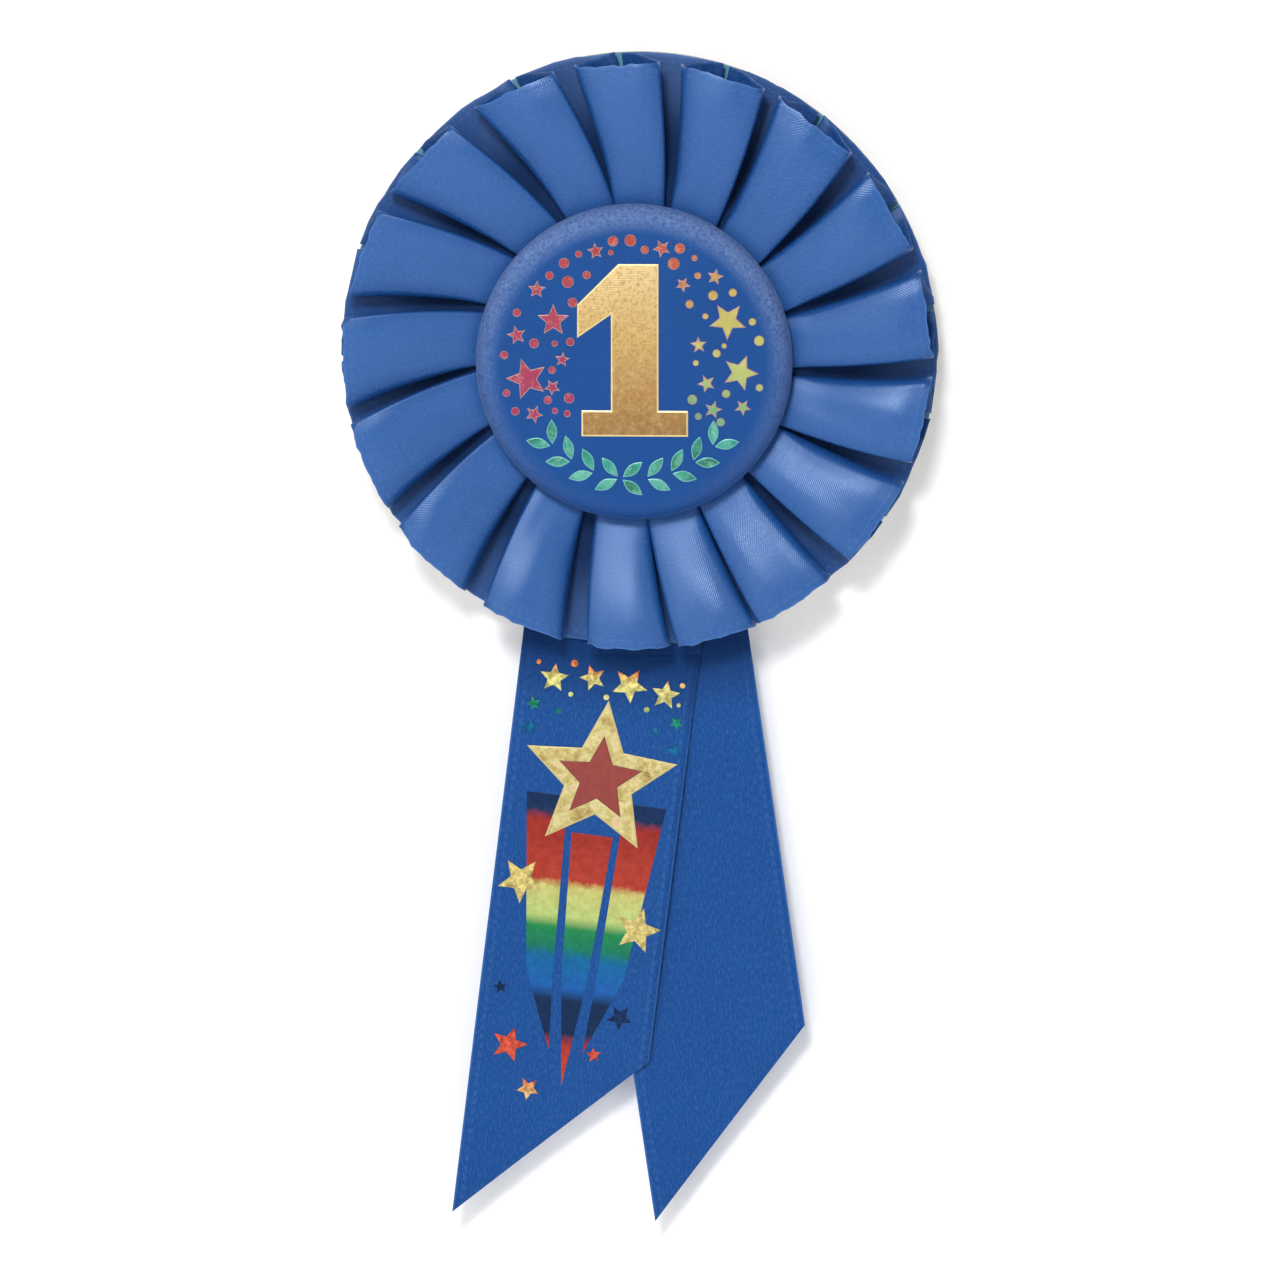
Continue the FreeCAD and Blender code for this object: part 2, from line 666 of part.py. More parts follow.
def main():
    os.makedirs("parts", exist_ok=True)
    save("back_card", back_card())
    save("gather_card", gather_card())
    save("pleated_ribbon", pleated_ribbon())
    save("gather_stitches", gather_stitches())
    save("back_tail_top", tail_top(BACK_TAIL, BACK_TAIL_H))
    save("front_tail_top", tail_top(FRONT_TAIL, FRONT_TAIL_H))
    moving_top = -HINGE_DROP - TAIL_GAP_BELOW
    save("back_tail", tail_strip(BACK_TAIL, BACK_TAIL_H, moving_top))
    save("front_tail", tail_strip(FRONT_TAIL, FRONT_TAIL_H, moving_top))
    save("tail_staples", tail_staples())
    save("button_cover", button_cover())
    save("button_pad", button_pad())
    save("button_shell", button_shell())
    save("button_back", button_back())
    save("button_glue", button_glue())
    save("numeral_foil", numeral_foil())
    save("button_foil_stars", button_foil_stars())
    save("button_foil_dots", button_foil_dots())
    save("button_foil_leaves", button_foil_leaves())
    save("tail_foil_star", tail_foil_star())
    save("tail_foil_inner_star", tail_foil_inner_star())
    save("tail_foil_streamers", tail_foil_streamers())
    save("tail_foil_small_stars", tail_foil_small_stars())
    save("tail_foil_dots", tail_foil_dots())
    save("pin_pad", pin_pad(), PIN_AT)
    save("pin_bar", pin_bar(), PIN_AT)
    save("pivot_rivet", pivot_rivet(), PIN_AT)
    save("catch_hook", catch_hook(), PIN_AT)
    save("catch_lock", catch_lock(), PIN_AT)
    save("pin_arm", pin_arm(), PIN_AT)


main()
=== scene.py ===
"""Award rosette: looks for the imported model. Metres, +Z up, the front faces -Y.

Pieces are laid out in the rosette's own frame, in millimetres: x to the right and z up from the
centre of the card, and h forward from the card's rear face. at() turns that into the scene's frame.
"""

import math

import bmesh
import bpy
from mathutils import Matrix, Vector, noise


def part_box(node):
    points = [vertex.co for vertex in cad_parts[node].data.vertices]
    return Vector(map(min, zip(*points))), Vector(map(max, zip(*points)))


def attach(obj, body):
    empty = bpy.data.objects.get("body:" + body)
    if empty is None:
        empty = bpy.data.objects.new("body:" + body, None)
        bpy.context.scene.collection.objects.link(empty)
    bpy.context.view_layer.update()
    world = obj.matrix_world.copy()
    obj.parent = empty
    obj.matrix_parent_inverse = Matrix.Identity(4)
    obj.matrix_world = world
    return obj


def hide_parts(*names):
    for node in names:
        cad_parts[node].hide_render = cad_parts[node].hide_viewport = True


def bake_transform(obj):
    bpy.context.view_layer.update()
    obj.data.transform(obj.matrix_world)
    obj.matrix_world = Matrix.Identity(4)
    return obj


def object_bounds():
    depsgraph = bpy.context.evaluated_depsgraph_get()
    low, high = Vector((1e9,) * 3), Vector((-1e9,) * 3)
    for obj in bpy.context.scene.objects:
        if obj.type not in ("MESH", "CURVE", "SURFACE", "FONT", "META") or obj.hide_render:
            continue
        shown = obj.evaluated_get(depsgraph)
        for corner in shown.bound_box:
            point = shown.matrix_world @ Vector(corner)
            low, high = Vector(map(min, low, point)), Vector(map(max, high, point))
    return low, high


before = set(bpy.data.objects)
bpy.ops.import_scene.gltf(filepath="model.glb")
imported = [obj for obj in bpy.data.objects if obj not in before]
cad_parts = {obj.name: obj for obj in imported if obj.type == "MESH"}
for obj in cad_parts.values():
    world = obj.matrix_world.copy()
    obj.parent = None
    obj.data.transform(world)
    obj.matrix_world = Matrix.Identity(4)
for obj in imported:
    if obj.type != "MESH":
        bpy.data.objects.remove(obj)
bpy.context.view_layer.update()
MM = 0.001
DETAIL = 2

CARD_LOW, CARD_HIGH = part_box("back_card")
CARD_R = (CARD_HIGH[0] - CARD_LOW[0]) / 2 / MM
CENTRE_X = (CARD_LOW[0] + CARD_HIGH[0]) / 2
CENTRE_Z = (CARD_LOW[2] + CARD_HIGH[2]) / 2
CARD_REAR_Y = CARD_HIGH[1]


def at(x, h, z):
    """A point in the scene from the rosette's frame."""
    return Vector((CENTRE_X + x * MM, CARD_REAR_Y - h * MM, CENTRE_Z + z * MM))


def polar(radius, degrees, centre=(0.0, 0.0)):
    """An (x, z) point at an angle counted from +X towards +Z."""
    a = math.radians(degrees)
    return (centre[0] + radius * math.cos(a), centre[1] + radius * math.sin(a))


def lerp(a, b, t):
    return a + (b - a) * t


def smooth(t):
    t = min(max(t, 0.0), 1.0)
    return t * t * (3 - 2 * t)


def wander(x, y, z, size):
    """Seedless smooth noise, about -0.5 to 0.5, whose features are size millimetres long."""
    return noise.noise(Vector((x, y, z)) / size)


# ---- meshes ----

LARGE_FACE_WEIGHT = 90


def new_object(name, data):
    piece = bpy.data.objects.new(name, data)
    bpy.context.scene.collection.objects.link(piece)
    return piece


def grid_mesh(name, rows, uvs, closed=False, shades=None):
    """A mesh through rows of points. uvs has the same layout, in millimetres of cloth.

    shades, when given, has a number for each point, the painted shade it gets: 0, darkest, deep in a
    fold, to 1 out in the open.
    """
    width = len(rows[0])
    mesh = bpy.data.meshes.new(name)
    points = [point for row in rows for point in row]
    faces, corners = [], []
    for i in range(len(rows) - 1):
        for j in range(width if closed else width - 1):
            k = (j + 1) % width
            faces.append((i * width + j, i * width + k, (i + 1) * width + k, (i + 1) * width + j))
            last = j + 1 if k else width
            corners += [uvs[i][j], uvs[i][last], uvs[i + 1][last], uvs[i + 1][j]]
    mesh.from_pydata(points, [], faces)
    layer = mesh.uv_layers.new(name="cloth")
    for loop, uv in zip(layer.data, corners):
        loop.uv = uv
    if shades:
        painted_light_level = mesh.attributes.new("painted_light_level", "FLOAT", "POINT")
        painted_light_level.data.foreach_set("value", [shade for row in shades for shade in row])
    mesh.shade_smooth()
    mesh.validate()
    return mesh


def even_shading(piece):
    """Lets the large faces lead the shading, so that thin edges don't darken them."""
    piece.modifiers.new("even_shading", "WEIGHTED_NORMAL").weight = LARGE_FACE_WEIGHT


def thicken(piece, thickness_mm):
    """Gives a sheet its thickness, half to each side."""
    modifier = piece.modifiers.new("thickness", "SOLIDIFY")
    modifier.thickness = thickness_mm * MM
    modifier.offset = 0
    even_shading(piece)


# ---- materials ----

class Shader:
    """A Principled material with short calls to add and join nodes."""

    def __init__(self, name, color, roughness, **constants):
        self.material = bpy.data.materials.new(name)
        self.material.use_nodes = True
        self.tree = self.material.node_tree
        self.principled = self.tree.nodes["Principled BSDF"]
        self.principled.inputs["Base Color"].default_value = (*color, 1)
        self.principled.inputs["Roughness"].default_value = roughness
        for socket, value in constants.items():
            self.principled.inputs[socket.replace("_", " ")].default_value = value

    def node(self, kind, inputs=None, **settings):
        made = self.tree.nodes.new("ShaderNode" + kind)
        for key, value in settings.items():
            setattr(made, key, value)
        for key, value in (inputs or {}).items():
            if isinstance(value, bpy.types.NodeSocket):
                self.tree.links.new(value, made.inputs[key])
            else:
                made.inputs[key].default_value = value
        return made

    def math(self, operation, a, b=0.0, clamp=False):
        return self.node("Math", {0: a, 1: b}, operation=operation, use_clamp=clamp).outputs[0]

    def above(self, value, start, gain):
        """How far a value is above start, times gain, kept between 0 and 1."""
        return self.math("MULTIPLY", self.math("SUBTRACT", value, start), gain, clamp=True)

    def mix(self, factor, a, b):
        """A colour mix. a and b are colours or sockets."""
        a, b = (c if isinstance(c, bpy.types.NodeSocket) else (*c, 1) for c in (a, b))
        return self.node("Mix", {0: factor, 6: a, 7: b}, data_type="RGBA").outputs[2]

    def ramp(self, factor, stops):
        made = self.node("ValToRGB", {"Fac": factor})
        elements = made.color_ramp.elements
        while len(elements) < len(stops):
            elements.new(0.5)
        for element, (place, color) in zip(elements, stops):
            element.position = place
            element.color = (*color, 1)
        return made.outputs["Color"]

    def noise(self, vector, scale, detail=3.0, roughness=0.55):
        inputs = {"Vector": vector, "Scale": scale, "Detail": detail, "Roughness": roughness}
        return self.node("TexNoise", inputs).outputs["Fac"]

    def wave(self, vector, scale, direction="X", distortion=0.0):
        inputs = {"Vector": vector, "Scale": scale, "Distortion": distortion}
        return self.node("TexWave", inputs, bands_direction=direction).outputs["Fac"]

    def cloth(self):
        """The cloth coordinates, in millimetres."""
        return self.node("UVMap", uv_map="cloth").outputs["UV"]

    def place(self):
        """Object coordinates, in millimetres."""
        metres = self.node("TexCoord").outputs["Object"]
        made = self.node("VectorMath", {0: metres, "Scale": 1 / MM}, operation="SCALE")
        return made.outputs["Vector"]

    def scaled(self, vector, scale):
        return self.node("Mapping", {"Vector": vector, "Scale": scale}).outputs[0]

    def split(self, vector):
        return self.node("SeparateXYZ", {0: vector}).outputs

    def color(self, socket):
        self.tree.links.new(socket, self.principled.inputs["Base Color"])

    def roughness(self, socket, low, high):
        made = self.node("MapRange", {"Value": socket, "To Min": low, "To Max": high}, clamp=False)
        self.tree.links.new(made.outputs[0], self.principled.inputs["Roughness"])

    def bump(self, *layers):
        """layers are (height socket, depth in millimetres)."""
        normal = None
        for height, depth in layers:
            made = self.node("Bump", {"Height": height, "Distance": depth * MM, "Strength": 1.0})
            if normal:
                self.tree.links.new(normal, made.inputs["Normal"])
            normal = made.outputs["Normal"]
        self.tree.links.new(normal, self.principled.inputs["Normal"])

    def tangent(self):
        made = self.node("Tangent", direction_type="UV_MAP", uv_map="cloth")
        self.tree.links.new(made.outputs[0], self.principled.inputs["Tangent"])


# the ribbon, in mm: its width, how far in its corded selvedge lies, and the cord's and edge's widths
RIBBON_W = 25.0
SELVEDGE = 1.15
CORD_HALF_W = 0.26
EDGE_W = 0.24
# dashes along the cord, in radians per mm, how much paler the cord is, and how strong the painted
# highlight along the ribbon's very edge is
CORD_DASH_RATE = 4.6
CORD_PALENESS = 0.15
EDGE_PAINTED_HIGHLIGHT = 0.30
SATIN = (0.0030, 0.060, 0.260)
SATIN_DEEP = (0.0020, 0.048, 0.216)
# a paler satin for the weave, grain and cord, also used as painted sheen and as the painted edge
# highlight
SATIN_PALE_AND_SHEEN = (0.070, 0.20, 0.52)
# the painted sheen colour on the button's rim
RIM_PAINTED_SHEEN = (0.26, 0.38, 0.68)
# the painted shade colour, for cloth deep in folds, between pleats or just under the rosette
SATIN_PAINTED_SHADE = (0.0008, 0.018, 0.085)
SATIN_SHINE = (0.58, 0.74, 1.0, 1)


def satin(name, gloss, sheen_paint):
    """Blue ribbon satin: diagonal float weave, corded selvedges and a lavender sheen.

    The cloth's painted-shade attribute, from grid_mesh's shades, darkens it as painted shade where it
    lies deep between or under pleats and on the tails just below the rosette, and the third argument is
    how much paler, a painted lavender sheen, it is out in the open.
    """
    shader = Shader(
        name, SATIN, 0.4,
        Specular_IOR_Level=gloss, Specular_Tint=SATIN_SHINE,
        Anisotropic=0.5, Anisotropic_Rotation=0.25,
        Sheen_Weight=0.02, Sheen_Roughness=0.35, Sheen_Tint=SATIN_SHINE,
    )
    cloth = shader.cloth()
    u, v, _ = shader.split(cloth)
    twill = shader.wave(cloth, 1.45, "DIAGONAL", 0.4)
    slubs = shader.scaled(cloth, (0.10, 1.4, 1.0))
    streaks = shader.noise(slubs, 0.9, 4.0)
    floats = shader.scaled(cloth, (0.55, 1.5, 1.0))
    grain = shader.noise(floats, 2.4, 2.0)
    patches = shader.noise(cloth, 0.13, 2.0)
    from_middle = shader.math("ABSOLUTE", shader.math("SUBTRACT", v, RIBBON_W / 2))
    inset = shader.math("SUBTRACT", RIBBON_W / 2, from_middle)
    off_cord = shader.math("ABSOLUTE", shader.math("SUBTRACT", inset, SELVEDGE))
    cord = shader.math("LESS_THAN", off_cord, CORD_HALF_W)
    dashes = shader.math("SINE", shader.math("MULTIPLY", u, CORD_DASH_RATE))
    dash = shader.math("GREATER_THAN", dashes, 0.1)
    # painted highlight: a thin pale line along the ribbon's very edge
    edge = shader.math("LESS_THAN", inset, EDGE_W)
    dashed = shader.math("ADD", 0.2, shader.math("MULTIPLY", dash, 0.8))
    cord_marks = shader.math("MULTIPLY", shader.math("MULTIPLY", cord, dashed), CORD_PALENESS)
    # the cord's pale dashes together with the painted edge highlight
    marks = shader.math("MAXIMUM", cord_marks, shader.math("MULTIPLY", edge, EDGE_PAINTED_HIGHLIGHT))
    base = shader.mix(shader.math("MULTIPLY", patches, 0.9, clamp=True), SATIN_DEEP, SATIN)
    base = shader.mix(shader.math("MULTIPLY", twill, 0.07), base, SATIN_PALE_AND_SHEEN)
    speckle = shader.above(grain, 0.44, 0.85)
    base = shader.mix(speckle, base, SATIN_PALE_AND_SHEEN)
    base = shader.mix(marks, base, SATIN_PALE_AND_SHEEN)
    painted_light_level = shader.node("Attribute", attribute_name="painted_light_level").outputs["Fac"]
    # painted sheen: cloth that lies fully open is mixed towards the pale lavender satin
    out = shader.above(painted_light_level, 0.8, 5 * sheen_paint)
    base = shader.mix(out, base, SATIN_PALE_AND_SHEEN)
    # painted shade: the cloth is mixed towards the dark satin colour as its painted light level falls
    shader.color(shader.mix(painted_light_level, SATIN_PAINTED_SHADE, base))
    hidden = shader.math("SUBTRACT", 1.0, painted_light_level)
    matt = shader.math("ADD", streaks, shader.math("MULTIPLY", hidden, 4.0))
    shader.roughness(matt, 0.22, 0.38)
    shader.bump((twill, 0.012), (streaks, 0.016), (grain, 0.018), (cord, 0.03))
    shader.tangent()
    return shader.material


def button_cloth():
    """Ribbed polyester, with the ribs level across the button and a painted lavender sheen on its rim,
    stronger towards the top.
    """
    shader = Shader(
        "button_cloth", SATIN, 0.55,
        Specular_IOR_Level=0.30, Specular_Tint=SATIN_SHINE,
        Sheen_Weight=0.18, Sheen_Roughness=0.30, Sheen_Tint=(0.72, 0.80, 1.0, 1),
    )
    place = shader.place()
    ribs = shader.wave(place, 0.95, "Z", 0.5)
    threads = shader.wave(place, 0.75, "X", 0.6)
    grain = shader.noise(place, 2.2, 3.0)
    patches = shader.noise(place, 0.08, 2.0)
    x, _, z = shader.split(place)
    across = shader.math("SUBTRACT", x, CENTRE_X / MM + BUTTON_X)
    up = shader.math("SUBTRACT", z, CENTRE_Z / MM + BUTTON_Z)
    squares = shader.math("ADD", shader.math("MULTIPLY", across, across), shader.math("MULTIPLY", up, up))
    # painted sheen on the button's rim, growing towards its edge
    painted_rim_sheen = shader.node("MapRange", {
        "Value": shader.math("SQRT", squares), "From Min": 18.0, "From Max": 21.2, "To Max": 0.80,
    }, interpolation_type="SMOOTHSTEP").outputs[0]
    # the painted rim sheen is stronger towards the top, where the light falls
    higher = shader.math("ADD", shader.math("MULTIPLY", up, 0.028), 0.62, clamp=True)
    painted_rim_sheen = shader.math("MULTIPLY", painted_rim_sheen, higher)
    speckle = shader.above(grain, 0.12, 1.6)
    base = shader.mix(patches, SATIN_DEEP, SATIN)
    base = shader.mix(shader.math("MULTIPLY", ribs, 0.06), base, SATIN_PALE_AND_SHEEN)
    shader.color(shader.mix(shader.math("MULTIPLY", painted_rim_sheen, speckle), base, RIM_PAINTED_SHEEN))
    shader.roughness(grain, 0.46, 0.66)
    shader.bump((ribs, 0.014), (threads, 0.010), (grain, 0.03))
    return shader.material


# hue stops round the button, from +X counterclockwise: gold, orange-red, magenta, teal, gold
FOIL_WHEEL = [
    (0.00, (0.44, 0.48, 0.13)), (0.10, (0.48, 0.38, 0.09)), (0.18, (0.42, 0.075, 0.03)),
    (0.30, (0.36, 0.025, 0.03)), (0.42, (0.34, 0.025, 0.07)), (0.60, (0.33, 0.018, 0.09)),
    (0.70, (0.29, 0.03, 0.065)), (0.86, (0.06, 0.28, 0.22)), (0.93, (0.20, 0.38, 0.16)),
    (1.00, (0.44, 0.48, 0.13)),
]


def foil(name, **shine):
    """The common part of a foil print: a metallic film that takes the cloth's grain."""
    settings = {"Metallic": 0.45, "Specular_IOR_Level": 0.6, "Coat_Weight": 0.35, "Coat_Roughness": 0.22}
    settings.update(shine)
    shader = Shader(name, (0.5, 0.4, 0.2), 0.34, **settings)
    place = shader.place()
    ribs = shader.wave(place, 0.95, "Z", 0.9)
    threads = shader.wave(place, 1.15, "X", 0.9)
    crackle = shader.noise(place, 1.1, 5.0, 0.7)
    shader.roughness(crackle, 0.26, 0.52)
    shader.bump((ribs, 0.012), (threads, 0.012), (crackle, 0.04))
    return shader, place, crackle


def wheel_foil(centre_x, centre_z):
    """Button foil whose colour goes round the button."""
    shader, place, crackle = foil("button_foil")
    x, _, z = shader.split(place)
    across = shader.math("SUBTRACT", x, centre_x / MM)
    up = shader.math("SUBTRACT", z, centre_z / MM)
    turn = shader.math("DIVIDE", shader.math("ARCTAN2", up, across), 2 * math.pi)
    turn = shader.math("FRACT", shader.math("ADD", turn, 1.0))
    wheel = shader.ramp(turn, FOIL_WHEEL)
    light = shader.above(crackle, 0.52, 1.6)
    shader.color(shader.mix(light, wheel, (0.78, 0.52, 0.36)))
    return shader.material


def gold_foil(low_z, high_z):
    """Gold foil, pale at the top and bronze at the bottom."""
    shader, place, crackle = foil("gold_foil", Metallic=0.55)
    _, _, z = shader.split(place)
    rise = shader.node(
        "MapRange", {"Value": z, "From Min": low_z / MM, "From Max": high_z / MM}
    ).outputs[0]
    gold = shader.ramp(rise, [
        (0.0, (0.29, 0.145, 0.035)), (0.25, (0.40, 0.22, 0.06)), (0.6, (0.56, 0.36, 0.12)),
        (1.0, (0.70, 0.52, 0.24)),
    ])
    linen = shader.noise(place, 2.3, 2.0)
    dark = shader.above(linen, 0.46, 2.2)
    light = shader.above(crackle, 0.46, 1.1)
    gold = shader.mix(dark, gold, (0.26, 0.13, 0.03))
    shader.color(shader.mix(light, gold, (0.80, 0.62, 0.32)))
    return shader.material


def leaf_foil():
    """Green foil that shades to teal, with light patches."""
    shader, place, crackle = foil("leaf_foil", Metallic=0.4)
    tone = shader.noise(place, 0.35, 3.0)
    green = shader.ramp(tone, [
        (0.36, (0.006, 0.15, 0.085)), (0.50, (0.012, 0.28, 0.20)), (0.64, (0.08, 0.38, 0.30)),
    ])
    light = shader.above(crackle, 0.50, 1.6)
    shader.color(shader.mix(light, green, (0.55, 0.80, 0.60)))
    return shader.material


def edge_foil(name, color):
    """The light line where a print's film ends."""
    shader, _, crackle = foil(name, Metallic=0.3)
    shader.color(shader.mix(crackle, tuple(0.75 * c for c in color), color))
    return shader.material


def tail_gold():
    """Pale crumpled gold, as on the tail's large star."""
    shader, place, crackle = foil("tail_gold", Metallic=0.5)
    patch = shader.noise(place, 0.55, 5.0, 0.7)
    gold = shader.ramp(patch, [
        (0.34, (0.30, 0.20, 0.05)), (0.43, (0.46, 0.34, 0.10)), (0.52, (0.58, 0.48, 0.18)),
        (0.60, (0.66, 0.60, 0.28)), (0.66, (0.68, 0.34, 0.22)),
    ])
    light = shader.above(crackle, 0.56, 2.4)
    shader.color(shader.mix(light, gold, (0.86, 0.80, 0.46)))
    return shader.material


def tail_red():
    shader, place, crackle = foil("tail_red", Metallic=0.25, Coat_Weight=0.15)
    shader.color(shader.mix(crackle, (0.17, 0.012, 0.010), (0.36, 0.045, 0.03)))
    return shader.material


# colour bands down the tail's streamers and small stars: distance down from the fold line, in mm
BANDS = [
    (21.0, (0.004, 0.022, 0.08)), (23.2, (0.005, 0.026, 0.09)), (24.6, (0.30, 0.025, 0.018)),
    (32.8, (0.40, 0.045, 0.026)), (34.0, (0.52, 0.50, 0.16)), (38.0, (0.42, 0.52, 0.17)),
    (39.6, (0.014, 0.22, 0.065)), (42.4, (0.008, 0.17, 0.10)), (43.8, (0.004, 0.12, 0.30)),
    (48.0, (0.010, 0.10, 0.36)), (49.8, (0.004, 0.022, 0.075)), (54.6, (0.004, 0.022, 0.07)),
    (56.2, (0.36, 0.03, 0.025)), (63.0, (0.50, 0.07, 0.03)),
]
SMALL_BANDS = [
    (0.0, (0.50, 0.06, 0.03)), (2.6, (0.56, 0.16, 0.04)), (4.0, (0.56, 0.50, 0.17)),
    (7.2, (0.50, 0.50, 0.18)), (8.0, (0.010, 0.20, 0.07)), (11.0, (0.003, 0.11, 0.24)),
    (15.0, (0.003, 0.09, 0.26)), (28.0, (0.50, 0.40, 0.13)), (44.0, (0.56, 0.46, 0.17)),
    (47.0, (0.004, 0.022, 0.08)), (53.5, (0.004, 0.022, 0.08)), (55.5, (0.52, 0.07, 0.04)),
    (61.5, (0.56, 0.09, 0.04)), (64.0, (0.70, 0.46, 0.16)),
]


def band_foil(name, bands, crumple):
    """Foil whose colour goes in bands down the tail. The cloth coordinate v runs down it.

    crumple is how much duller and brighter its creases are than the band's own colour.
    """
    shader, place, crackle = foil(name, Metallic=0.15, Specular_IOR_Level=0.15, Coat_Weight=0.0)
    _, down, _ = shader.split(shader.cloth())
    low, high = bands[0][0], bands[-1][0]
    soft = shader.math("MULTIPLY", shader.math("SUBTRACT", crackle, 0.5), 1.4)
    place_down = shader.math("ADD", down, soft)
    share = shader.node(
        "MapRange", {"Value": place_down, "From Min": low, "From Max": high}
    ).outputs[0]

    def toned(tone):
        return shader.ramp(share, [
            ((d - low) / (high - low), tuple(min(tone * c, 1.0) for c in color)) for d, color in bands
        ])
    light = shader.above(crackle, 0.38, 4.0)
    shader.color(shader.mix(light, toned(1 - crumple), toned(1 + 1.3 * crumple)))
    return shader.material


PULP = (0.56, 0.53, 0.47)
PAPER_T = 0.12


def card(name, paper, front_y):
    """Grey pulp board, with coloured paper on its front face, at front_y in the scene."""
    shader = Shader(name, PULP, 0.8, Specular_IOR_Level=0.25)
    place = shader.place()
    fibres = shader.scaled(place, (0.5, 1.0, 2.2))
    pulp = shader.noise(fibres, 0.9, 6.0, 0.7)
    flecks = shader.noise(place, 1.6, 2.0)
    specks = shader.noise(place, 3.5, 2.0)
    _, y, _ = shader.split(place)
    covered = shader.math("LESS_THAN", y, front_y / MM + PAPER_T)
    fleck = shader.above(flecks, 0.62, 6.0)
    board = shader.mix(pulp, tuple(0.72 * c for c in PULP), PULP)
    board = shader.mix(fleck, board, (0.20, 0.18, 0.15))
    sheet = shader.mix(pulp, tuple(0.86 * c for c in paper), paper)
    shader.color(shader.mix(covered, board, sheet))
    shader.roughness(specks, 0.70, 0.95)
    shader.bump((pulp, 0.05), (specks, 0.02))
    return shader.material


def metal(name, color, low, high, brushed):
    """Plated or drawn steel with fine lines along X and patchy tarnish."""
    shader = Shader(name, color, 0.3, Metallic=1.0, Anisotropic=0.3)
    place = shader.place()
    stretched = shader.scaled(place, (0.15, 5.0, 5.0))
    lines = shader.noise(stretched, brushed, 3.0)
    tarnish = shader.noise(place, 0.35, 3.0)
    shader.color(shader.mix(tarnish, tuple(0.72 * c for c in color), color))
    shader.roughness(lines, low, high)
    shader.bump((lines, 0.008), (tarnish, 0.02))
    return shader.material


def soft_plastic(name, color, roughness, depth):
    """Foam, glue or moulded plastic: a plain colour with a fine pebbled surface."""
    shader = Shader(name, color, roughness, Specular_IOR_Level=0.4)
    place = shader.place()
    cells = shader.noise(place, 2.4, 4.0, 0.6)
    clouds = shader.noise(place, 0.2, 2.0)
    shader.color(shader.mix(clouds, tuple(0.86 * c for c in color), color))
    shader.roughness(cells, roughness - 0.1, roughness + 0.1)
    shader.bump((cells, depth))
    return shader.material


# ---- pleated ribbon ----

INNER_R = 17.0
BASE_RIM_R = CARD_R + 0.15
FRONT_RIM_R = CARD_R - 0.7
RING_SHIFT = (-0.1, -0.6)
BASE_ROOT_H = 3.08
BASE_RIM_H = 2.46
STEP_FROM, STEP_TO = 0.24, 0.34
UNDER_LIFT = 0.34
FRONT_ROOT_H = 3.9
FRONT_RIM_H = 8.1
PANEL_ROOT_W = 5.9
RIBBON_T = 0.17
CREASE_DEPTH = 0.34
RIM_WAVER = 0.35
# the flat length declared for the ribbon, as a share of its length along the rim: a guess
# One entry per pleat, counterclockwise from the top: the panel's middle at the rim and how far
# its root is turned back from there (degrees), its width at the rim (mm), the fold radius on its
# clockwise and counterclockwise sides (mm), and how much higher its clockwise side stands (mm).
PLEATS = [
    (94, 4.5, 11.9, 0.60, 1.50, 0.1),
    (115, 6.5, 12.2, 0.50, 1.70, 0.7),
    (138, 7.0, 13.0, 0.35, 2.10, 1.5),
    (160, 8.0, 13.2, 0.30, 2.20, 2.0),
    (182, 7.6, 13.2, 0.30, 2.20, 2.1),
    (203, 7.4, 13.2, 0.30, 2.10, 1.9),
    (225, 7.0, 13.0, 0.35, 1.90, 1.4),
    (247, 6.0, 12.0, 0.45, 1.50, 0.8),
    (268.5, 4.5, 11.6, 0.55, 1.20, 0.3),
    (286, 4.0, 11.2, 0.50, 1.20, 0.3),
    (303, 2.0, 12.0, 0.50, 1.30, 0.4),
    (325.5, 3.0, 13.2, 0.55, 1.40, 0.5),
    (347.5, 5.0, 12.2, 0.60, 1.30, 0.3),
    (368.5, 4.0, 12.2, 0.80, 1.00, -0.1),
    (390, 4.2, 12.4, 1.10, 0.80, -0.3),
    (412.5, 6.0, 12.8, 0.90, 0.90, -0.1),
    (433, 5.0, 12.0, 0.60, 1.30, 0.2),
]


def panel_rise(v):
    """How far up its rise a front panel is, from its root (0) to the rim (1)."""
    return smooth(v / 0.92) - 0.05 * smooth((v - 0.86) / 0.14)


def base_height(v):
    return lerp(BASE_ROOT_H, BASE_RIM_H, smooth((v - STEP_FROM) / (STEP_TO - STEP_FROM)))


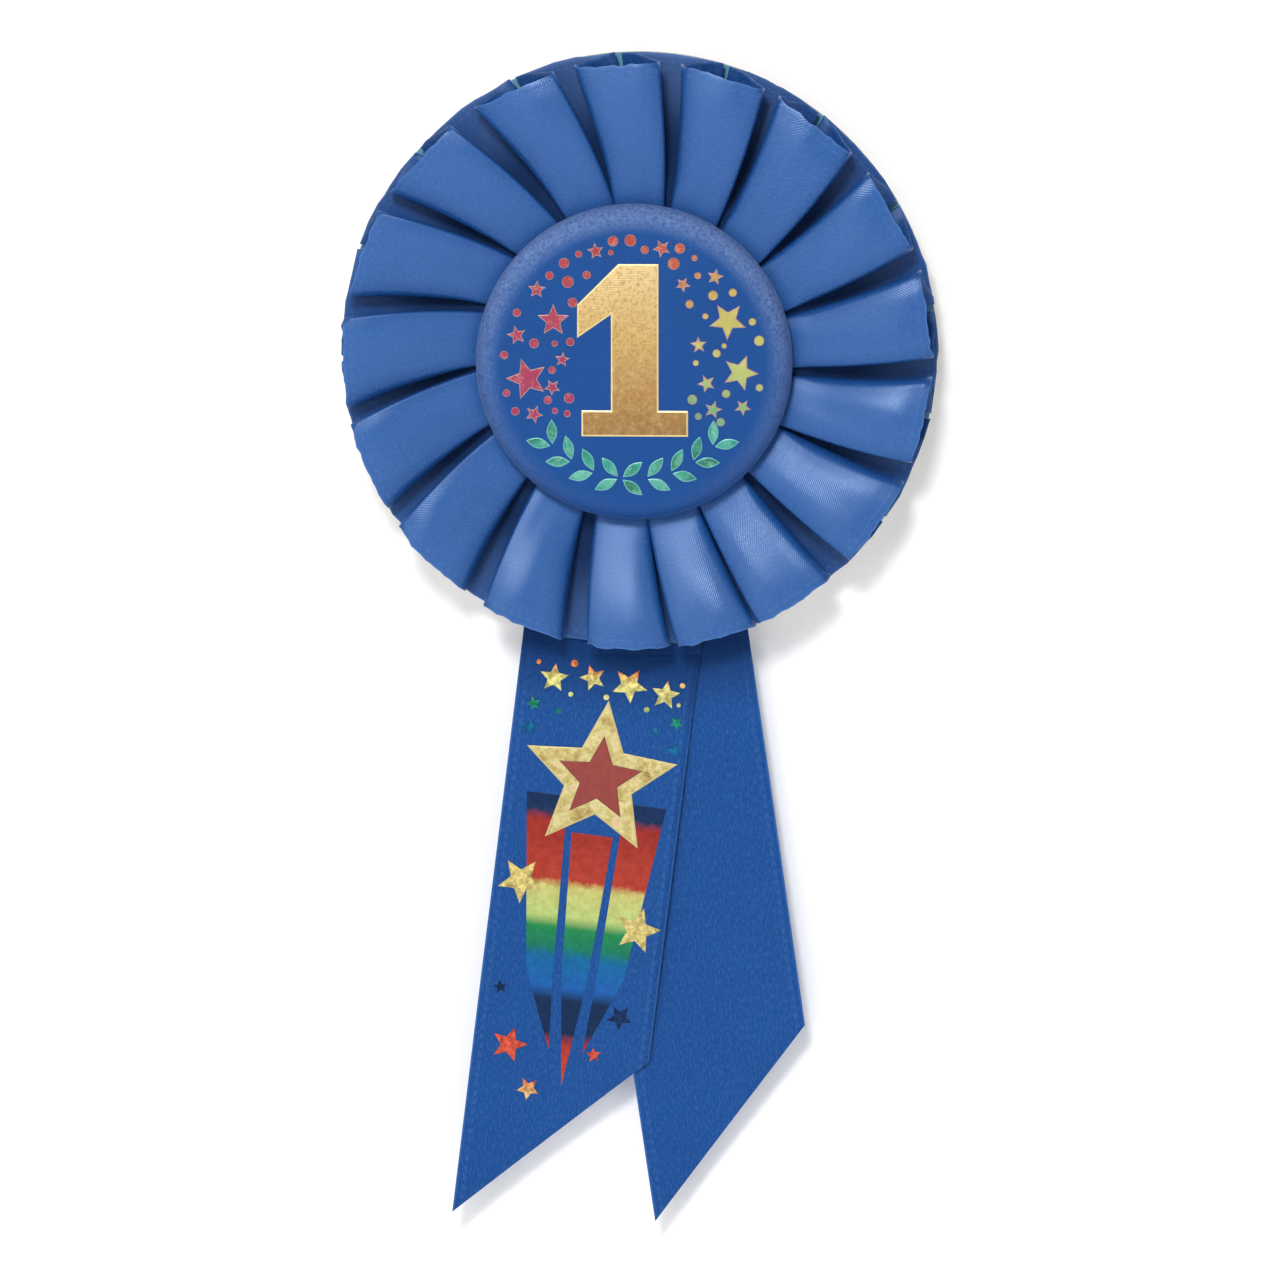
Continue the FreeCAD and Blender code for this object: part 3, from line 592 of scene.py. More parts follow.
def pleat_section(k, v):
    """One pleat across, at a place v from its root (0) to the rim (1).

    Gives (tangent, height, frontness) points: from the middle of the bridge before it, in to the
    slit, out under the panel, round the fold, over the panel, and the same on the other side. The
    tangent is in mm from the pleat's middle, and None marks the bridge's two outer ends.
    """
    _, _, rim_w, fold_a, fold_b, lean = PLEATS[k]
    half = lerp(PANEL_ROOT_W, rim_w, v) / 2
    base, under = base_height(v), base_height(v) + UNDER_LIFT
    top = lerp(FRONT_ROOT_H, FRONT_RIM_H, panel_rise(v))
    slit = 0.25 + 0.40 * smooth((v - 0.8) / 0.2)
    bulge = 0.15 + 0.60 * v

    def side(sense, fold, height):
        """From the bridge's outer end to the start of the panel, on one side."""
        room = (height - under) / 2
        radius = min(fold, room * 0.94)
        centre = half - radius
        out = [(None, base, 0.0)]
        out += [(sense * lerp(half, slit, t), base, 0.0) for t in (0.0, 0.5, 1.0)]
        out += [(sense * (slit - UNDER_LIFT / 2), base + UNDER_LIFT / 2, 0.02)]
        floor = height - 2 * radius
        for t in (0.0, 0.2, 0.4, 0.6, 0.8):
            out.append((sense * lerp(slit, centre, t), lerp(under, floor, t ** 1.6), 0.5 * t))
        steps = 3 * DETAIL + 2
        for i in range(steps + 1):
            a = math.pi * (i / steps - 0.5)
            x = centre + radius * math.cos(a)
            rise = radius * (1 + math.sin(a))
            out.append((sense * x, floor + rise, 0.5 + 0.25 * i / steps))
        return out, centre

    high, low = top + lean * (0.3 + 0.7 * v) * 0.5, top - lean * (0.3 + 0.7 * v) * 0.5
    points, start = side(-1, fold_a, high)
    second, end = side(1, fold_b, low)
    steps = 5 * DETAIL + 2
    for i in range(1, steps):
        t = i / steps
        crown = bulge * math.sin(math.pi * t) ** 0.8
        height = lerp(high, low, (smooth(t) + t) / 2) + crown
        points.append((lerp(-start, end, t), height, 0.75 + 0.25 * math.sin(math.pi * t)))
    points += reversed(second)
    return points


def ribbon_ring():
    """Rows of points from the root to the rim, and their cloth coordinates."""
    rows, uvs, shades = [], [], []
    count = len(PLEATS)
    steps = 14 * DETAIL
    for row in range(steps + 1):
        v = row / steps
        base_r, front_r = lerp(INNER_R, BASE_RIM_R, v), lerp(INNER_R, FRONT_RIM_R, v)
        points, shade = [], []

        def middle(index):
            turn, rim, back = 360 * (index // count), *PLEATS[index % count][:2]
            return turn + rim - back * (1 - v) * 1.2

        for k in range(count):
            here = middle(k)
            bridge = (middle(k - 1) + here) / 2
            # the section's last point is the next pleat's first one
            for tangent, height, front in pleat_section(k, v)[:-1]:
                radius = lerp(base_r, front_r, front)
                degrees = bridge if tangent is None else here + math.degrees(tangent / radius)
                crease = wander(3.1 * degrees, 40 * v, 7 * k, 22) * CREASE_DEPTH * front * (0.3 + v)
                ragged = wander(5 * degrees, 11 * k, 3, 9) * RIM_WAVER * smooth((v - 0.85) / 0.15)
                x, z = polar(radius + ragged, degrees)
                x += RING_SHIFT[0] * front
                z += RING_SHIFT[1] * front
                points.append(at(x, height + crease, z))
                # painted shade: from 0.05 on the bridge deep by the root up to 1 on the panels' open
                # faces, lighter towards the rim
                shade.append(max(smooth(front / 0.9), 0.05 + 0.75 * smooth((v - 0.45) / 0.45)))
        rows.append(points)
        shades.append(shade)
    widest = rows[-1]
    run = [0.0]
    for a, b in zip(widest, widest[1:] + widest[:1]):
        run.append(run[-1] + (b - a).length / MM)
    for row in range(steps + 1):
        uvs.append([(u, row / steps * RIBBON_W) for u in run])
    return rows, uvs, shades, run[-1]


def pleated_ribbon(material):
    rows, uvs, shades, length = ribbon_ring()
    mesh = grid_mesh("pleated_satin", rows, uvs, closed=True, shades=shades)
    piece = new_object("pleated_satin", mesh)
    thicken(piece, RIBBON_T)
    piece.data.materials.append(material)
    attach(piece, "rosette")
    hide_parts("pleated_ribbon")


# ---- button ----

BUTTON_LOW, BUTTON_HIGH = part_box("button_cover")
BUTTON_X = ((BUTTON_LOW[0] + BUTTON_HIGH[0]) / 2 - CENTRE_X) / MM
BUTTON_Z = ((BUTTON_LOW[2] + BUTTON_HIGH[2]) / 2 - CENTRE_Z) / MM
BUTTON_R = (BUTTON_HIGH[0] - BUTTON_LOW[0]) / 2 / MM
BUTTON_REAR_H = (CARD_REAR_Y - BUTTON_HIGH[1]) / MM
BUTTON_FRONT_H = (CARD_REAR_Y - BUTTON_LOW[1]) / MM
CORNER_R = 4.0
CROWN = 0.25
COVER_T = 0.35
COVER_SHEET_T = 0.12
TUCK_R = BUTTON_R - 1.6
TUCK_DEPTH = 1.9
# in mm: how deep the padding's sides are, and how far behind them its flat rear lies
PAD_EDGE_DEPTH = 1.0
PAD_REAR_GAP = 0.05


def cover_swell(x, z):
    """How the cloth's slight unevenness raises it at a place, in mm."""
    return 0.12 * wander(x + 50, z, 9, 7)


def button_height(x, z):
    """The cover's height at a place on its front, in the rosette's frame."""
    radius = math.hypot(x - BUTTON_X, z - BUTTON_Z)
    flat_r = BUTTON_R - CORNER_R
    height = BUTTON_FRONT_H - CROWN + cover_swell(x, z)
    if radius <= flat_r:
        return height + CROWN * (1 - (radius / flat_r) ** 2)
    past = min(radius - flat_r, CORNER_R)
    return height - CORNER_R + math.sqrt(CORNER_R ** 2 - past ** 2)


def button_profile(shrink):
    """(radius, height) points from the middle of the front, round the edge, to the rear."""
    flat_r = BUTTON_R - CORNER_R
    front = BUTTON_FRONT_H - CROWN
    corner = CORNER_R - shrink
    points = []
    for i in range(9 * DETAIL + 1):
        r = flat_r * i / (9 * DETAIL)
        points.append((r, front + CROWN * (1 - (r / flat_r) ** 2) - shrink))
    for i in range(1, 8 * DETAIL + 1):
        a = math.radians(90 * i / (8 * DETAIL))
        points.append((flat_r + corner * math.sin(a), front - CORNER_R + corner * math.cos(a)))
    return points


def turned(name, profile, segments=72 * DETAIL):
    """A mesh turned about the button's axis, with cloth coordinates in millimetres."""
    rows, uvs, run = [], [], 0.0
    for i, (radius, height) in enumerate(profile):
        if i:
            run += math.dist(profile[i - 1], profile[i])
        row = []
        for j in range(segments):
            x, z = polar(max(radius, 0.02), 360 * j / segments, (BUTTON_X, BUTTON_Z))
            row.append(at(x, height + cover_swell(x, z), z))
        rows.append(row)
        uvs.append([(run * math.tau * j / segments, run) for j in range(segments + 1)])
    return grid_mesh(name, rows, uvs, closed=True)


def button_cover(material):
    profile = button_profile(0.0)
    profile += [(BUTTON_R - 0.1, BUTTON_REAR_H + 0.35), (BUTTON_R - 0.5, BUTTON_REAR_H)]
    profile += [(TUCK_R + 0.5, BUTTON_REAR_H), (TUCK_R, BUTTON_REAR_H + 0.4)]
    profile += [(TUCK_R, BUTTON_REAR_H + TUCK_DEPTH)]
    piece = new_object("button_fabric", turned("button_fabric", profile))
    thicken(piece, COVER_SHEET_T)
    piece.data.materials.append(material)
    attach(piece, "rosette")
    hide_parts("button_cover")


def button_padding(material):
    edge = BUTTON_FRONT_H - CROWN - PAD_EDGE_DEPTH
    profile = [(radius, height) for radius, height in button_profile(COVER_T) if height > edge]
    rear = edge - PAD_REAR_GAP
    profile += [(profile[-1][0], rear), (0.0, rear)]
    piece = new_object("button_padding", turned("button_padding", profile, 48))
    piece.data.materials.append(material)
    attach(piece, "rosette")
    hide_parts("button_pad")


# ---- prints ----

STAR_WAIST = 0.45
# a print's rim stands at this share of its lift, and its sides end this far below the cloth's face, in mm
RIM_HEIGHT_SHARE = 0.55
SKIRT_DEPTH = 0.02


def star(x, z, radius, turn=0.0):
    """The outline of a five-pointed star, one point up when turn is 0."""
    return [
        polar(radius * (1 if i % 2 == 0 else STAR_WAIST), 90 + turn + 36 * i, (x, z))
        for i in range(10)
    ]


def dot(x, z, radius):
    return [polar(radius, 30 * i, (x, z)) for i in range(12)]


def leaf(x, z, length, width, turn):
    a = math.radians(turn)
    along, aside = (math.cos(a), math.sin(a)), (-math.sin(a), math.cos(a))
    steps = 6
    outline = []
    for sense in (1, -1):
        for i in range(steps):
            t = i / steps
            u = (t - 0.5) * length * sense
            w = sense * width / 2 * math.sin(math.pi * t)
            outline.append((x + along[0] * u + aside[0] * w, z + along[1] * u + aside[1] * w))
    return outline


def print_mesh(name, outlines, surface, rim, lift, step=2.5):
    """Thin raised prints: a light rim round a body that stands a little higher.

    outlines are closed lists of (a, b), and surface(a, b, height) puts them on the cloth.
    The cloth coordinates are (a, b). Slot 0 is the body and slot 1 the rim.
    """
    mesh = bmesh.new()
    layer = mesh.loops.layers.uv.new("cloth")
    for outline in outlines:
        corners = [mesh.verts.new((a, b, 0)) for a, b in outline]
        face = mesh.faces.new(corners)
        face.normal_update()
        if face.normal.z < 0:
            face.normal_flip()
    mesh.faces.ensure_lookup_table()
    bodies = list(mesh.faces)
    ring = bmesh.ops.inset_individual(mesh, faces=bodies, thickness=rim, use_even_offset=True)
    for face in ring["faces"]:
        face.material_index = 1
    raised = {v for face in bodies for v in face.verts}
    base = {v for v in mesh.verts if v not in raised}
    skirts = bmesh.ops.extrude_edge_only(mesh, edges=[e for e in mesh.edges if e.is_boundary])
    sunk = [part for part in skirts["geom"] if isinstance(part, bmesh.types.BMVert)]
    for verts, height in ((raised, lift), (base, lift * RIM_HEIGHT_SHARE), (sunk, -SKIRT_DEPTH)):
        for v in verts:
            v.co.z = height
    for face in mesh.faces:
        if any(v.co.z < 0 for v in face.verts):
            face.material_index = 1
    bmesh.ops.triangulate(mesh, faces=mesh.faces[:])
    for _ in range(4):
        long_edges = [e for e in mesh.edges if e.calc_length() > step]
        if not long_edges:
            break
        bmesh.ops.subdivide_edges(mesh, edges=long_edges, cuts=1)
        bmesh.ops.triangulate(mesh, faces=mesh.faces[:])
    for face in mesh.faces:
        for loop in face.loops:
            loop[layer].uv = (loop.vert.co.x, loop.vert.co.y)
    for v in mesh.verts:
        v.co = surface(v.co.x, v.co.y, v.co.z)
    made = bpy.data.meshes.new(name)
    mesh.to_mesh(made)
    mesh.free()
    return made


def print_piece(name, outlines, surface, body, materials, node, slot, **options):
    piece = new_object(name, print_mesh(name, outlines, surface, **options))
    for material in materials:
        piece.data.materials.append(material)
    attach(piece, body)
    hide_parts(node)


def on_button(x, z, height):
    return at(x, button_height(x, z) + height, z)


NUMERAL_SHIFT = (0.3, 2.0)
NUMERAL_H = 24.0


def numeral_outline():
    """A plain block numeral 1 with a flag and a slab foot."""
    half_stem, half_foot, foot = 3.3, 7.4, 3.6
    top, bottom = NUMERAL_H / 2, -NUMERAL_H / 2
    flag_x, flag_drop, flag_width = -8.0, 8.0, 4.6
    outline = [
        (half_stem, top), (-half_stem + 1.0, top),
        (flag_x, top - flag_drop + flag_width / 2), (flag_x, top - flag_drop - flag_width / 2),
        (-half_stem, top - flag_drop + 1.0), (-half_stem, bottom + foot),
        (-half_foot, bottom + foot), (-half_foot, bottom), (half_foot, bottom),
        (half_foot, bottom + foot), (half_stem, bottom + foot),
    ]
    x0, z0 = BUTTON_X + NUMERAL_SHIFT[0], BUTTON_Z + NUMERAL_SHIFT[1]
    return [(x0 + x, z0 + z) for x, z in outline]


# (radius from the button's centre, angle, size) of the prints round the numeral
BUTTON_STARS = [
    (12.6, 151, 2.3), (14.8, 188, 3.0), (14.6, 25, 2.7), (15.0, -4, 2.6),
    (16.9, 142, 1.3), (16.6, 166, 1.4), (11.6, 196, 1.2), (15.4, 207, 1.3), (9.8, 176, 1.1),
    (16.6, 108, 1.2), (16.7, 76, 1.3), (13.2, 58, 1.1), (16.8, 47, 1.2), (9.6, 17, 1.2),
    (10.6, -14, 1.3), (16.4, -21, 1.2), (12.8, -29, 1.3),
]
BUTTON_DOTS = [
    (16.9, 133, 0.6), (17.0, 124, 0.75), (14.6, 128, 0.85), (17.1, 116, 0.5), (14.0, 117, 0.6),
    (17.4, 99, 0.75), (15.9, 101, 0.4), (17.3, 91, 0.85), (16.1, 84, 0.6), (17.5, 68, 0.75),
    (15.2, 68, 0.85), (17.2, 60, 0.45), (15.4, 54, 0.5), (14.8, 41, 0.7), (11.6, 47, 0.6),
    (17.2, 36, 0.6), (12.2, 34, 0.45), (17.7, 20, 0.55), (17.9, 11, 0.75), (11.8, 8, 0.6),
    (13.0, 12, 0.4), (17.9, -10, 0.55), (13.6, -17, 0.6), (9.6, -30, 0.7), (11.6, -38, 0.5),
    (14.6, -33, 0.6), (17.6, 156, 0.6), (14.0, 168, 0.7), (11.2, 165, 0.45), (17.9, 176, 0.6),
    (11.2, 184, 0.55), (18.0, 193, 0.55), (17.6, 202, 0.6), (12.8, 203, 0.6), (10.0, 208, 0.75),
    (12.6, 211, 0.45), (9.2, 160, 0.6), (12.0, 134, 0.7), (11.4, 217, 0.5), (8.8, 2, 0.45),
]
LEAF_STEP_DEG = 12.5
LEAF_PAIRS = 9
LEAF_RING_R = 15.9
LEAF_ASIDE = 1.25
LEAF_LENGTH = 3.5
LEAF_WIDTH = 1.5
LEAF_SPREAD_DEG = 38


def garland_outlines():
    """Pairs of leaves along the button's lower edge that meet at the middle."""
    outlines = []
    for k in range(LEAF_PAIRS):
        degrees = 270 + (k - (LEAF_PAIRS - 1) / 2) * LEAF_STEP_DEG
        sense = 1 if degrees >= 270 else -1
        for side in (-1, 1):
            x, z = polar(LEAF_RING_R + side * LEAF_ASIDE, degrees, (BUTTON_X, BUTTON_Z))
            turn = degrees + sense * (90 - side * LEAF_SPREAD_DEG)
            outlines.append(leaf(x, z, LEAF_LENGTH, LEAF_WIDTH, turn))
    return outlines


def button_prints():
    low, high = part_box("numeral_foil")
    wheel = wheel_foil(CENTRE_X + BUTTON_X * MM, CENTRE_Z + BUTTON_Z * MM)
    gold = gold_foil(low[2], high[2])
    pale_gold = edge_foil("gold_edge", (0.90, 0.72, 0.30))
    pale = edge_foil("foil_edge", (0.50, 0.28, 0.26))
    pale_green = edge_foil("leaf_edge", (0.16, 0.52, 0.46))
    centre = (BUTTON_X, BUTTON_Z)
    stars = [star(*polar(r, a, centre), s, 17 * k) for k, (r, a, s) in enumerate(BUTTON_STARS)]
    dots = [dot(*polar(r, a, centre), s) for r, a, s in BUTTON_DOTS]
    print_piece("numeral", [numeral_outline()], on_button, "rosette", [gold, pale_gold],
                "numeral_foil", "gold_foil", rim=0.22, lift=0.16)
    print_piece("button_stars", stars, on_button, "rosette", [wheel, pale],
                "button_foil_stars", "coloured_foil", rim=0.13, lift=0.14)
    print_piece("button_dots", dots, on_button, "rosette", [wheel, pale],
                "button_foil_dots", "coloured_foil", rim=0.10, lift=0.16)
    print_piece("button_garland", garland_outlines(), on_button, "rosette", [leaf_foil(), pale_green],
                "button_foil_leaves", "garland_foil", rim=0.13, lift=0.13)


# ---- tails ----

FOLD_DROP = 42.7
TAIL_ROOT_DROP = 9.0
SPLIT_DROP = 43.0
FRONT_TAIL = {"lean": -7.0, "x": -4.05, "long_side": 81.9, "h": 1.9, "seed": 5.0}
BACK_TAIL = {"lean": 8.3, "x": 3.05, "long_side": 80.0, "h": 1.45, "seed": 61.0}
TAIL_T = 0.17
# how far down from the fold line the rosette's painted shadow on the tails reaches, in mm
PAINTED_SHADOW_DOWN = 12.0


def tail_axes(tail):
    a = math.radians(tail["lean"])
    return (math.sin(a), -math.cos(a)), (math.cos(a), math.sin(a))


def tail_swell(tail, across, down):
    """How far the hanging ribbon stands forward of its flat place, in mm."""
    free = smooth(down / 30.0)
    curl = 0.55 * (across / (RIBBON_W / 2)) ** 2 * smooth((down - 8) / 50)
    ripple = 1.5 * wander(across * 0.5, down, tail["seed"], 34)
    return free * (0.25 + ripple * 0.55 + curl)


def on_tail(tail):
    """The surface of a tail: from across its width and down from the fold line to a point."""
    (dx, dz), (nx, nz) = tail_axes(tail)

    def surface(across, down, height=0.0):
        x = tail["x"] + nx * across + dx * down
        z = -FOLD_DROP + nz * across + dz * down
        swell = tail_swell(tail, across, down) if down > 0 else 0.0
        return at(x, tail["h"] + swell + height, z)
    return surface


def tail_stretch(name, tail, start, stop, steps):
    """A length of ribbon. start and stop give how far down it is at a place across."""
    surface = on_tail(tail)
    columns = 12 * DETAIL
    rows, uvs, shades = [], [], []
    for i in range(steps + 1):
        row, uv, shade = [], [], []
        for j in range(columns + 1):
            across = RIBBON_W * (j / columns - 0.5)
            down = lerp(start(across), stop(across), i / steps)
            row.append(surface(across, down))
            uv.append((down, across + RIBBON_W / 2))
            # painted shadow of the rosette: darkest at the fold line, gone by the distance given above
            shade.append(0.25 + 0.75 * smooth((down + 1.0) / PAINTED_SHADOW_DOWN))
        rows.append(row)
        uvs.append(uv)
        shades.append(shade)
    return grid_mesh(name, rows, uvs, shades=shades)


def level(tail, drop):
    """How far down a tail a level line lies, as a function of the place across."""
    (_, dz), (_, nz) = tail_axes(tail)
    return lambda across: (FOLD_DROP - drop - nz * across) / dz


def cut_end(tail):
    return lambda across: tail["long_side"] - (across + RIBBON_W / 2)


def ribbon_tails(material):
    def finish_piece(piece, nodes):
        thicken(piece, TAIL_T)
        piece.data.materials.append(material)
        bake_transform(piece)
        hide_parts(*nodes)

    free, fixed = 64 * DETAIL, 24
    back = new_object("plain_tail", tail_stretch(
        "plain_tail", BACK_TAIL, level(BACK_TAIL, TAIL_ROOT_DROP), cut_end(BACK_TAIL), free))
    finish_piece(back, ["back_tail_top", "back_tail"])
    root = new_object("printed_tail_root", tail_stretch(
        "printed_tail_root", FRONT_TAIL, level(FRONT_TAIL, TAIL_ROOT_DROP),
        level(FRONT_TAIL, SPLIT_DROP), fixed))
    finish_piece(root, ["front_tail_top"])
    front = new_object("printed_tail", tail_stretch(
        "printed_tail", FRONT_TAIL, level(FRONT_TAIL, SPLIT_DROP), cut_end(FRONT_TAIL), free))
    finish_piece(front, ["front_tail"])


BIG_STAR_AT = (0.6, 18.0)
BIG_STAR_R = 11.2
INNER_STAR_R = 6.2
STREAMER_LANE = 7.0
STREAMER_HALF_W = 2.9
SHOULDER_DOWN = 46.0
SHOULDER_LANE = 5.0
SHOULDER_HALF_W = 1.9
TIP_LANE = 2.4
# (lane from the middle one, how far down the top and the tip are) of each streamer
STREAMERS = [(-1, 21.0, 57.0), (0, 26.0, 62.0), (1, 21.0, 57.0)]
# (across, down from the fold line, size) of the small prints on the front tail
TAIL_STARS = [
    (-7.4, 4.6, 2.1), (-2.0, 3.9, 1.9), (3.2, 4.3, 2.6), (8.4, 5.0, 2.1),
    (-9.8, 8.6, 1.1), (10.4, 8.8, 1.1), (-10.0, 12.0, 1.3), (10.6, 12.6, 1.3),
    (-8.6, 33.6, 3.3), (8.6, 38.6, 3.3),
    (-9.6, 49.0, 1.0), (7.6, 51.2, 1.8), (-7.4, 57.0, 2.6), (4.6, 57.0, 1.1), (-4.0, 63.0, 1.7),
]
TAIL_DOTS = [
    (-9.8, 2.6, 0.35), (-4.8, 2.2, 0.5), (-4.8, 6.6, 0.35), (0.2, 6.4, 0.4), (6.0, 7.4, 0.4),
    (10.6, 3.4, 0.4), (10.4, 6.2, 0.3), (-6.2, 9.2, 0.4), (7.6, 10.2, 0.35),
]


def tail_prints():
    surface = on_tail(FRONT_TAIL)

    def printed(base):
        return lambda across, down, height: surface(across, down, TAIL_T / 2 + base + height)

    def tail_star(across, down, radius, turn=0.0):
        return [(a, -b) for a, b in star(across, -down, radius, turn)]

    gold, red = tail_gold(), tail_red()
    small = band_foil("small_star_foil", SMALL_BANDS, 0.42)
    bands = band_foil("streamer_foil", BANDS, 0.12)
    pale = edge_foil("tail_gold_edge", (0.62, 0.52, 0.20))
    dark = edge_foil("tail_red_edge", (0.20, 0.03, 0.02))
    streamers = []
    for lane, top, tip in STREAMERS:
        middle, shoulder = lane * STREAMER_LANE, lane * SHOULDER_LANE
        outline = [
            (middle - STREAMER_HALF_W, top),
            (middle + STREAMER_HALF_W, top),
            (shoulder + SHOULDER_HALF_W, SHOULDER_DOWN),
            (lane * TIP_LANE, tip),
            (shoulder - SHOULDER_HALF_W, SHOULDER_DOWN),
        ]
        streamers.append([(BIG_STAR_AT[0] + across, down) for across, down in outline])
    stars = [tail_star(a, d, s, 23 * k) for k, (a, d, s) in enumerate(TAIL_STARS)]
    dots = [dot(a, d, s) for a, d, s in TAIL_DOTS]
    body = "front_tail"
    print_piece("streamers", streamers, printed(0.0), body, [bands, bands],
                "tail_foil_streamers", "coloured_foil", rim=0.12, lift=0.05, step=1.6)
    print_piece("big_star", [tail_star(*BIG_STAR_AT, BIG_STAR_R)], printed(0.02), body, [gold, pale],
                "tail_foil_star", "gold_foil", rim=0.22, lift=0.09, step=1.6)
    print_piece("inner_star", [tail_star(*BIG_STAR_AT, INNER_STAR_R)], printed(0.10), body, [red, dark],
                "tail_foil_inner_star", "coloured_foil", rim=0.16, lift=0.06, step=1.6)
    print_piece("small_stars", stars, printed(0.05), body, [small, small],
                "tail_foil_small_stars", "gold_foil", rim=0.07, lift=0.08)
    print_piece("tail_dots", dots, printed(0.02), body, [small, small],
                "tail_foil_dots", "gold_foil", rim=0.04, lift=0.06)


# ---- carried-over CAD nodes ----

def dress(node, material, bevel=0.0):
    """Gives a CAD node its material, and rounds its edges a little."""
    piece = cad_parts[node]
    if not piece.material_slots:
        piece.data.materials.append(material)
    for slot in piece.material_slots:
        slot.link = "OBJECT"
        slot.material = material
    if bevel:
        modifier = piece.modifiers.new("edge_wear", "BEVEL")
        modifier.width = bevel * MM
        modifier.segments = 2
        modifier.limit_method = "ANGLE"
        even_shading(piece)


def hard_pieces():
    cyan = (0.16, 0.42, 0.56)
    plating = metal("pin_plating", (0.78, 0.76, 0.72), 0.16, 0.34, 0.8)
    wire = metal("spring_wire", (0.70, 0.70, 0.69), 0.22, 0.42, 1.4)
    dress("back_card", card("back_board", cyan, CARD_LOW[1]), 0.15)
    dress("gather_card", card("gather_board", cyan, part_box("gather_card")[0][1]), 0.1)
    dress("gather_stitches", soft_plastic("stitch_thread", (0.03, 0.10, 0.34), 0.7, 0.05))
    dress("tail_staples", metal("staple_wire", (0.62, 0.62, 0.60), 0.25, 0.45, 1.2))
    dress("button_shell", soft_plastic("shell_plastic", (0.78, 0.78, 0.75), 0.45, 0.01), 0.1)
    dress("button_back", soft_plastic("plate_plastic", (0.74, 0.74, 0.72), 0.45, 0.01), 0.1)
    dress("button_glue", soft_plastic("glue", (0.72, 0.66, 0.46), 0.35, 0.05), 0.2)
    dress("pin_pad", soft_plastic("tape_foam", (0.80, 0.80, 0.77), 0.8, 0.05), 0.05)
    for node in ("pin_bar", "pivot_rivet"):
        dress(node, plating, 0.08)
    for node in ("catch_hook", "catch_lock"):
        dress(node, plating, 0.05)
    dress("pin_arm", wire)


# ---- stage ----

WALL_GLOW = 0.09
WALL_GAP = 3.0 * MM
FLOOR_DROP = 60 * MM
REACH = 1.6


def build_stage():
    """A pale wall close behind the card, seen and lit from its front only, and a floor below.

    The pin passes through the wall, as it would through cloth.
    """
    low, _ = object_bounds()
    wall_y = CARD_REAR_Y + WALL_GAP
    floor_z = low[2] - FLOOR_DROP

    def sheet_of(name, corners):
        mesh = bpy.data.meshes.new(name)
        mesh.from_pydata(corners, [], [(0, 1, 2, 3)])
        piece = new_object(name, mesh)
        return piece

    wall = sheet_of("wall", [
        (-REACH, wall_y, floor_z), (REACH, wall_y, floor_z),
        (REACH, wall_y, REACH), (-REACH, wall_y, REACH),
    ])
    floor = sheet_of("floor", [
        (-REACH, -REACH, floor_z), (REACH, -REACH, floor_z),
        (REACH, REACH, floor_z), (-REACH, REACH, floor_z),
    ])
    paper = Shader("stage_paper", (0.93, 0.93, 0.93), 0.9, Specular_IOR_Level=0.1)
    floor.data.materials.append(paper.material)
    one_sided = Shader(
        "stage_wall", (0.93, 0.93, 0.93), 0.9,
        Specular_IOR_Level=0.1, Emission_Color=(1, 1, 1, 1), Emission_Strength=WALL_GLOW,
    )
    back = one_sided.node("NewGeometry").outputs["Backfacing"]
    clear = one_sided.node("BsdfTransparent").outputs[0]
    output = one_sided.tree.nodes["Material Output"]
    blend = one_sided.node("MixShader", {0: back, 1: one_sided.principled.outputs[0], 2: clear})
    one_sided.tree.links.new(blend.outputs[0], output.inputs["Surface"])
    wall.data.materials.append(one_sided.material)
    wall.visible_shadow = False


def area_light(name, place, target, size, power, color):
    light = bpy.data.lights.new(name, "AREA")
    light.shape = "DISK"
    light.size = size
    light.energy = power
    light.color = color
    lamp = new_object(name, light)
    lamp.location = place
    lamp.rotation_euler = (target - place).to_track_quat("-Z", "Y").to_euler()


WHITE = (1, 1, 1)
# name, place from the middle of the view, diameter (all in metres), power in watts, and colour
LIGHTS = [
    ("key", (-0.10, -0.86, 0.52), 0.22, 5.4, WHITE),
    ("side", (-0.42, -0.90, 0.26), 0.80, 2.8, WHITE),
    ("fill", (0.50, -0.88, 0.20), 0.5, 1.1, (0.94, 0.97, 1.0)),
    ("rear", (0.3, 0.9, 0.5), 0.6, 4.0, WHITE),
]
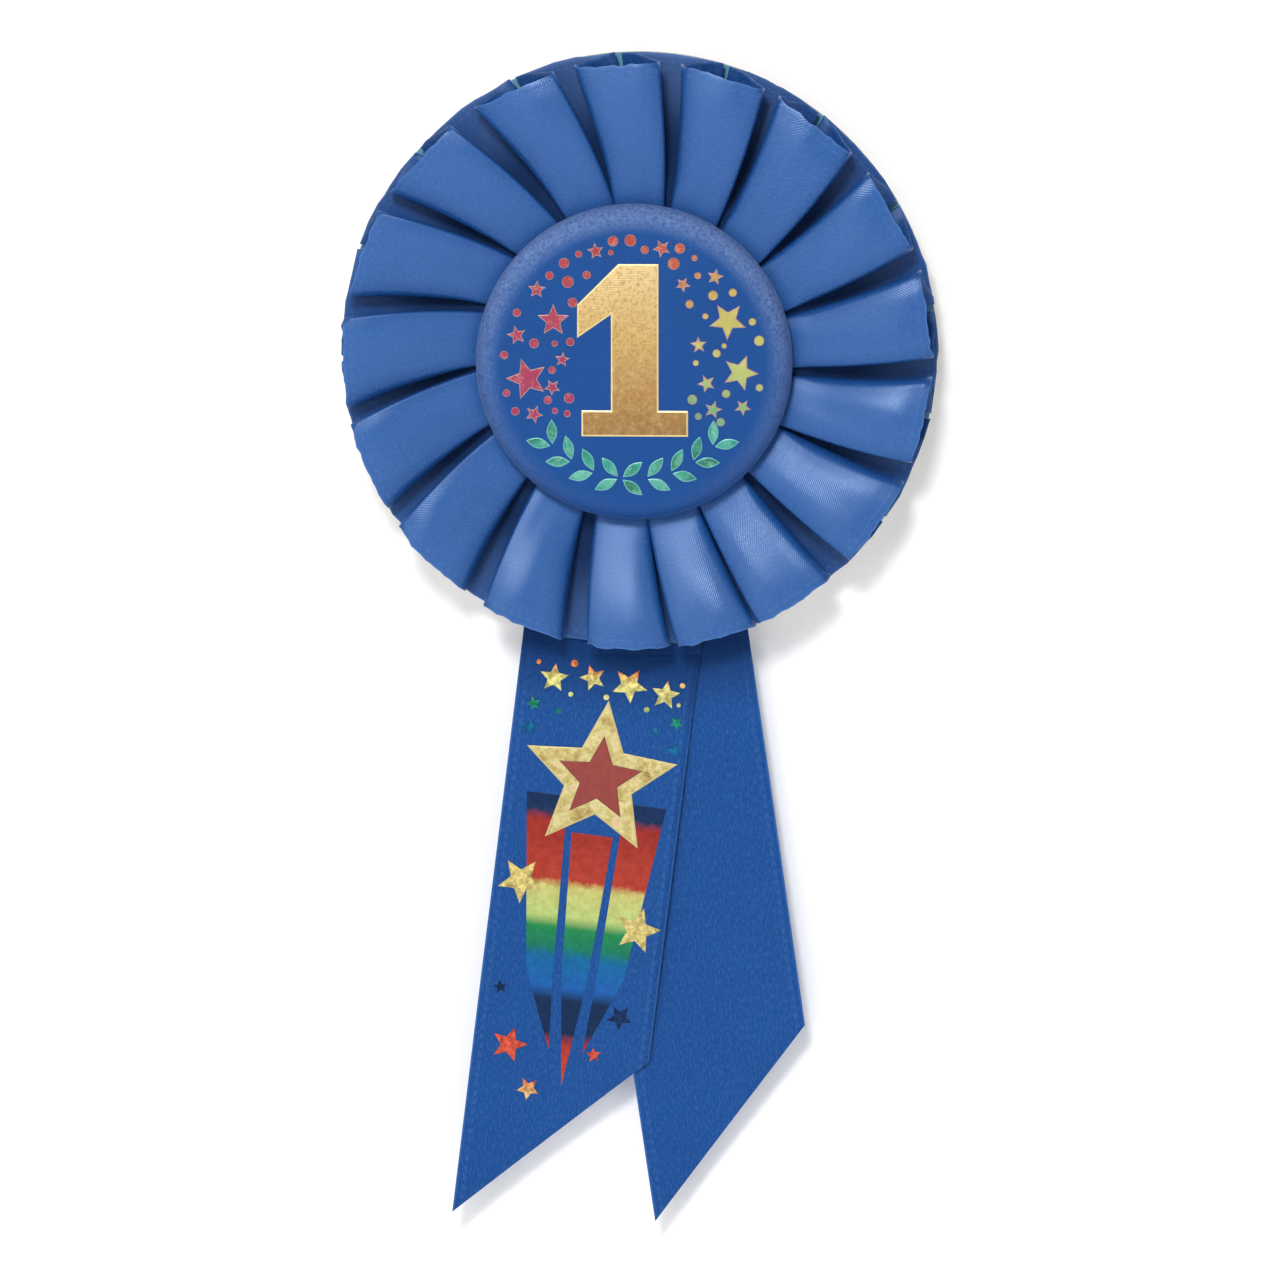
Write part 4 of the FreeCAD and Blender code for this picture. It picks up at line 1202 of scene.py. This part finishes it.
# how strongly the room lights the rosette, and how bright the room itself looks
ROOM_LIGHT = 0.07
ROOM_SEEN = 0.85


def lights(middle):
    for name, place, size, power, color in LIGHTS:
        area_light(name, middle + Vector(place), middle, size, power, color)
    world = bpy.data.worlds.new("studio")
    bpy.context.scene.world = world
    world.use_nodes = True
    nodes, links = world.node_tree.nodes, world.node_tree.links
    nodes["Background"].inputs["Color"].default_value = (1, 1, 1, 1)
    strength = nodes.new("ShaderNodeMapRange")
    strength.inputs["To Min"].default_value = ROOM_LIGHT
    strength.inputs["To Max"].default_value = ROOM_SEEN
    links.new(nodes.new("ShaderNodeLightPath").outputs["Is Camera Ray"], strength.inputs["Value"])
    links.new(strength.outputs[0], nodes["Background"].inputs["Strength"])


CAMERA_AZIMUTH = 3.0
CAMERA_ELEVATION = 7.5
CAMERA_DISTANCE = 1.4
VIEW_WIDTH = 179.2 * MM
SENSOR_WIDTH = 36
# the middle of the view in the rosette's frame: right of, in front of and below the card's centre
VIEW_MIDDLE = (0.14, 3.0, -40.8)


def camera():
    data = bpy.data.cameras.new("camera")
    data.sensor_width = SENSOR_WIDTH
    data.lens = data.sensor_width * CAMERA_DISTANCE / VIEW_WIDTH
    piece = new_object("camera", data)
    azimuth, elevation = math.radians(CAMERA_AZIMUTH), math.radians(CAMERA_ELEVATION)
    back = Vector((
        math.sin(azimuth) * math.cos(elevation),
        -math.cos(azimuth) * math.cos(elevation),
        math.sin(elevation),
    ))
    target = at(*VIEW_MIDDLE)
    piece.location = target + back * CAMERA_DISTANCE
    piece.rotation_euler = (-back).to_track_quat("-Z", "Y").to_euler()
    bpy.context.scene.camera = piece
    return target


target = camera()
pleated_ribbon(satin("pleated_satin", 0.62, 0.26))
button_cover(button_cloth())
button_padding(soft_plastic("pad_foam", (0.82, 0.81, 0.76), 0.85, 0.08))
button_prints()
ribbon_tails(satin("tail_satin", 0.26, 0.0))
tail_prints()
hard_pieces()
build_stage()
lights(target)
bpy.context.scene.view_settings.view_transform = "Standard"
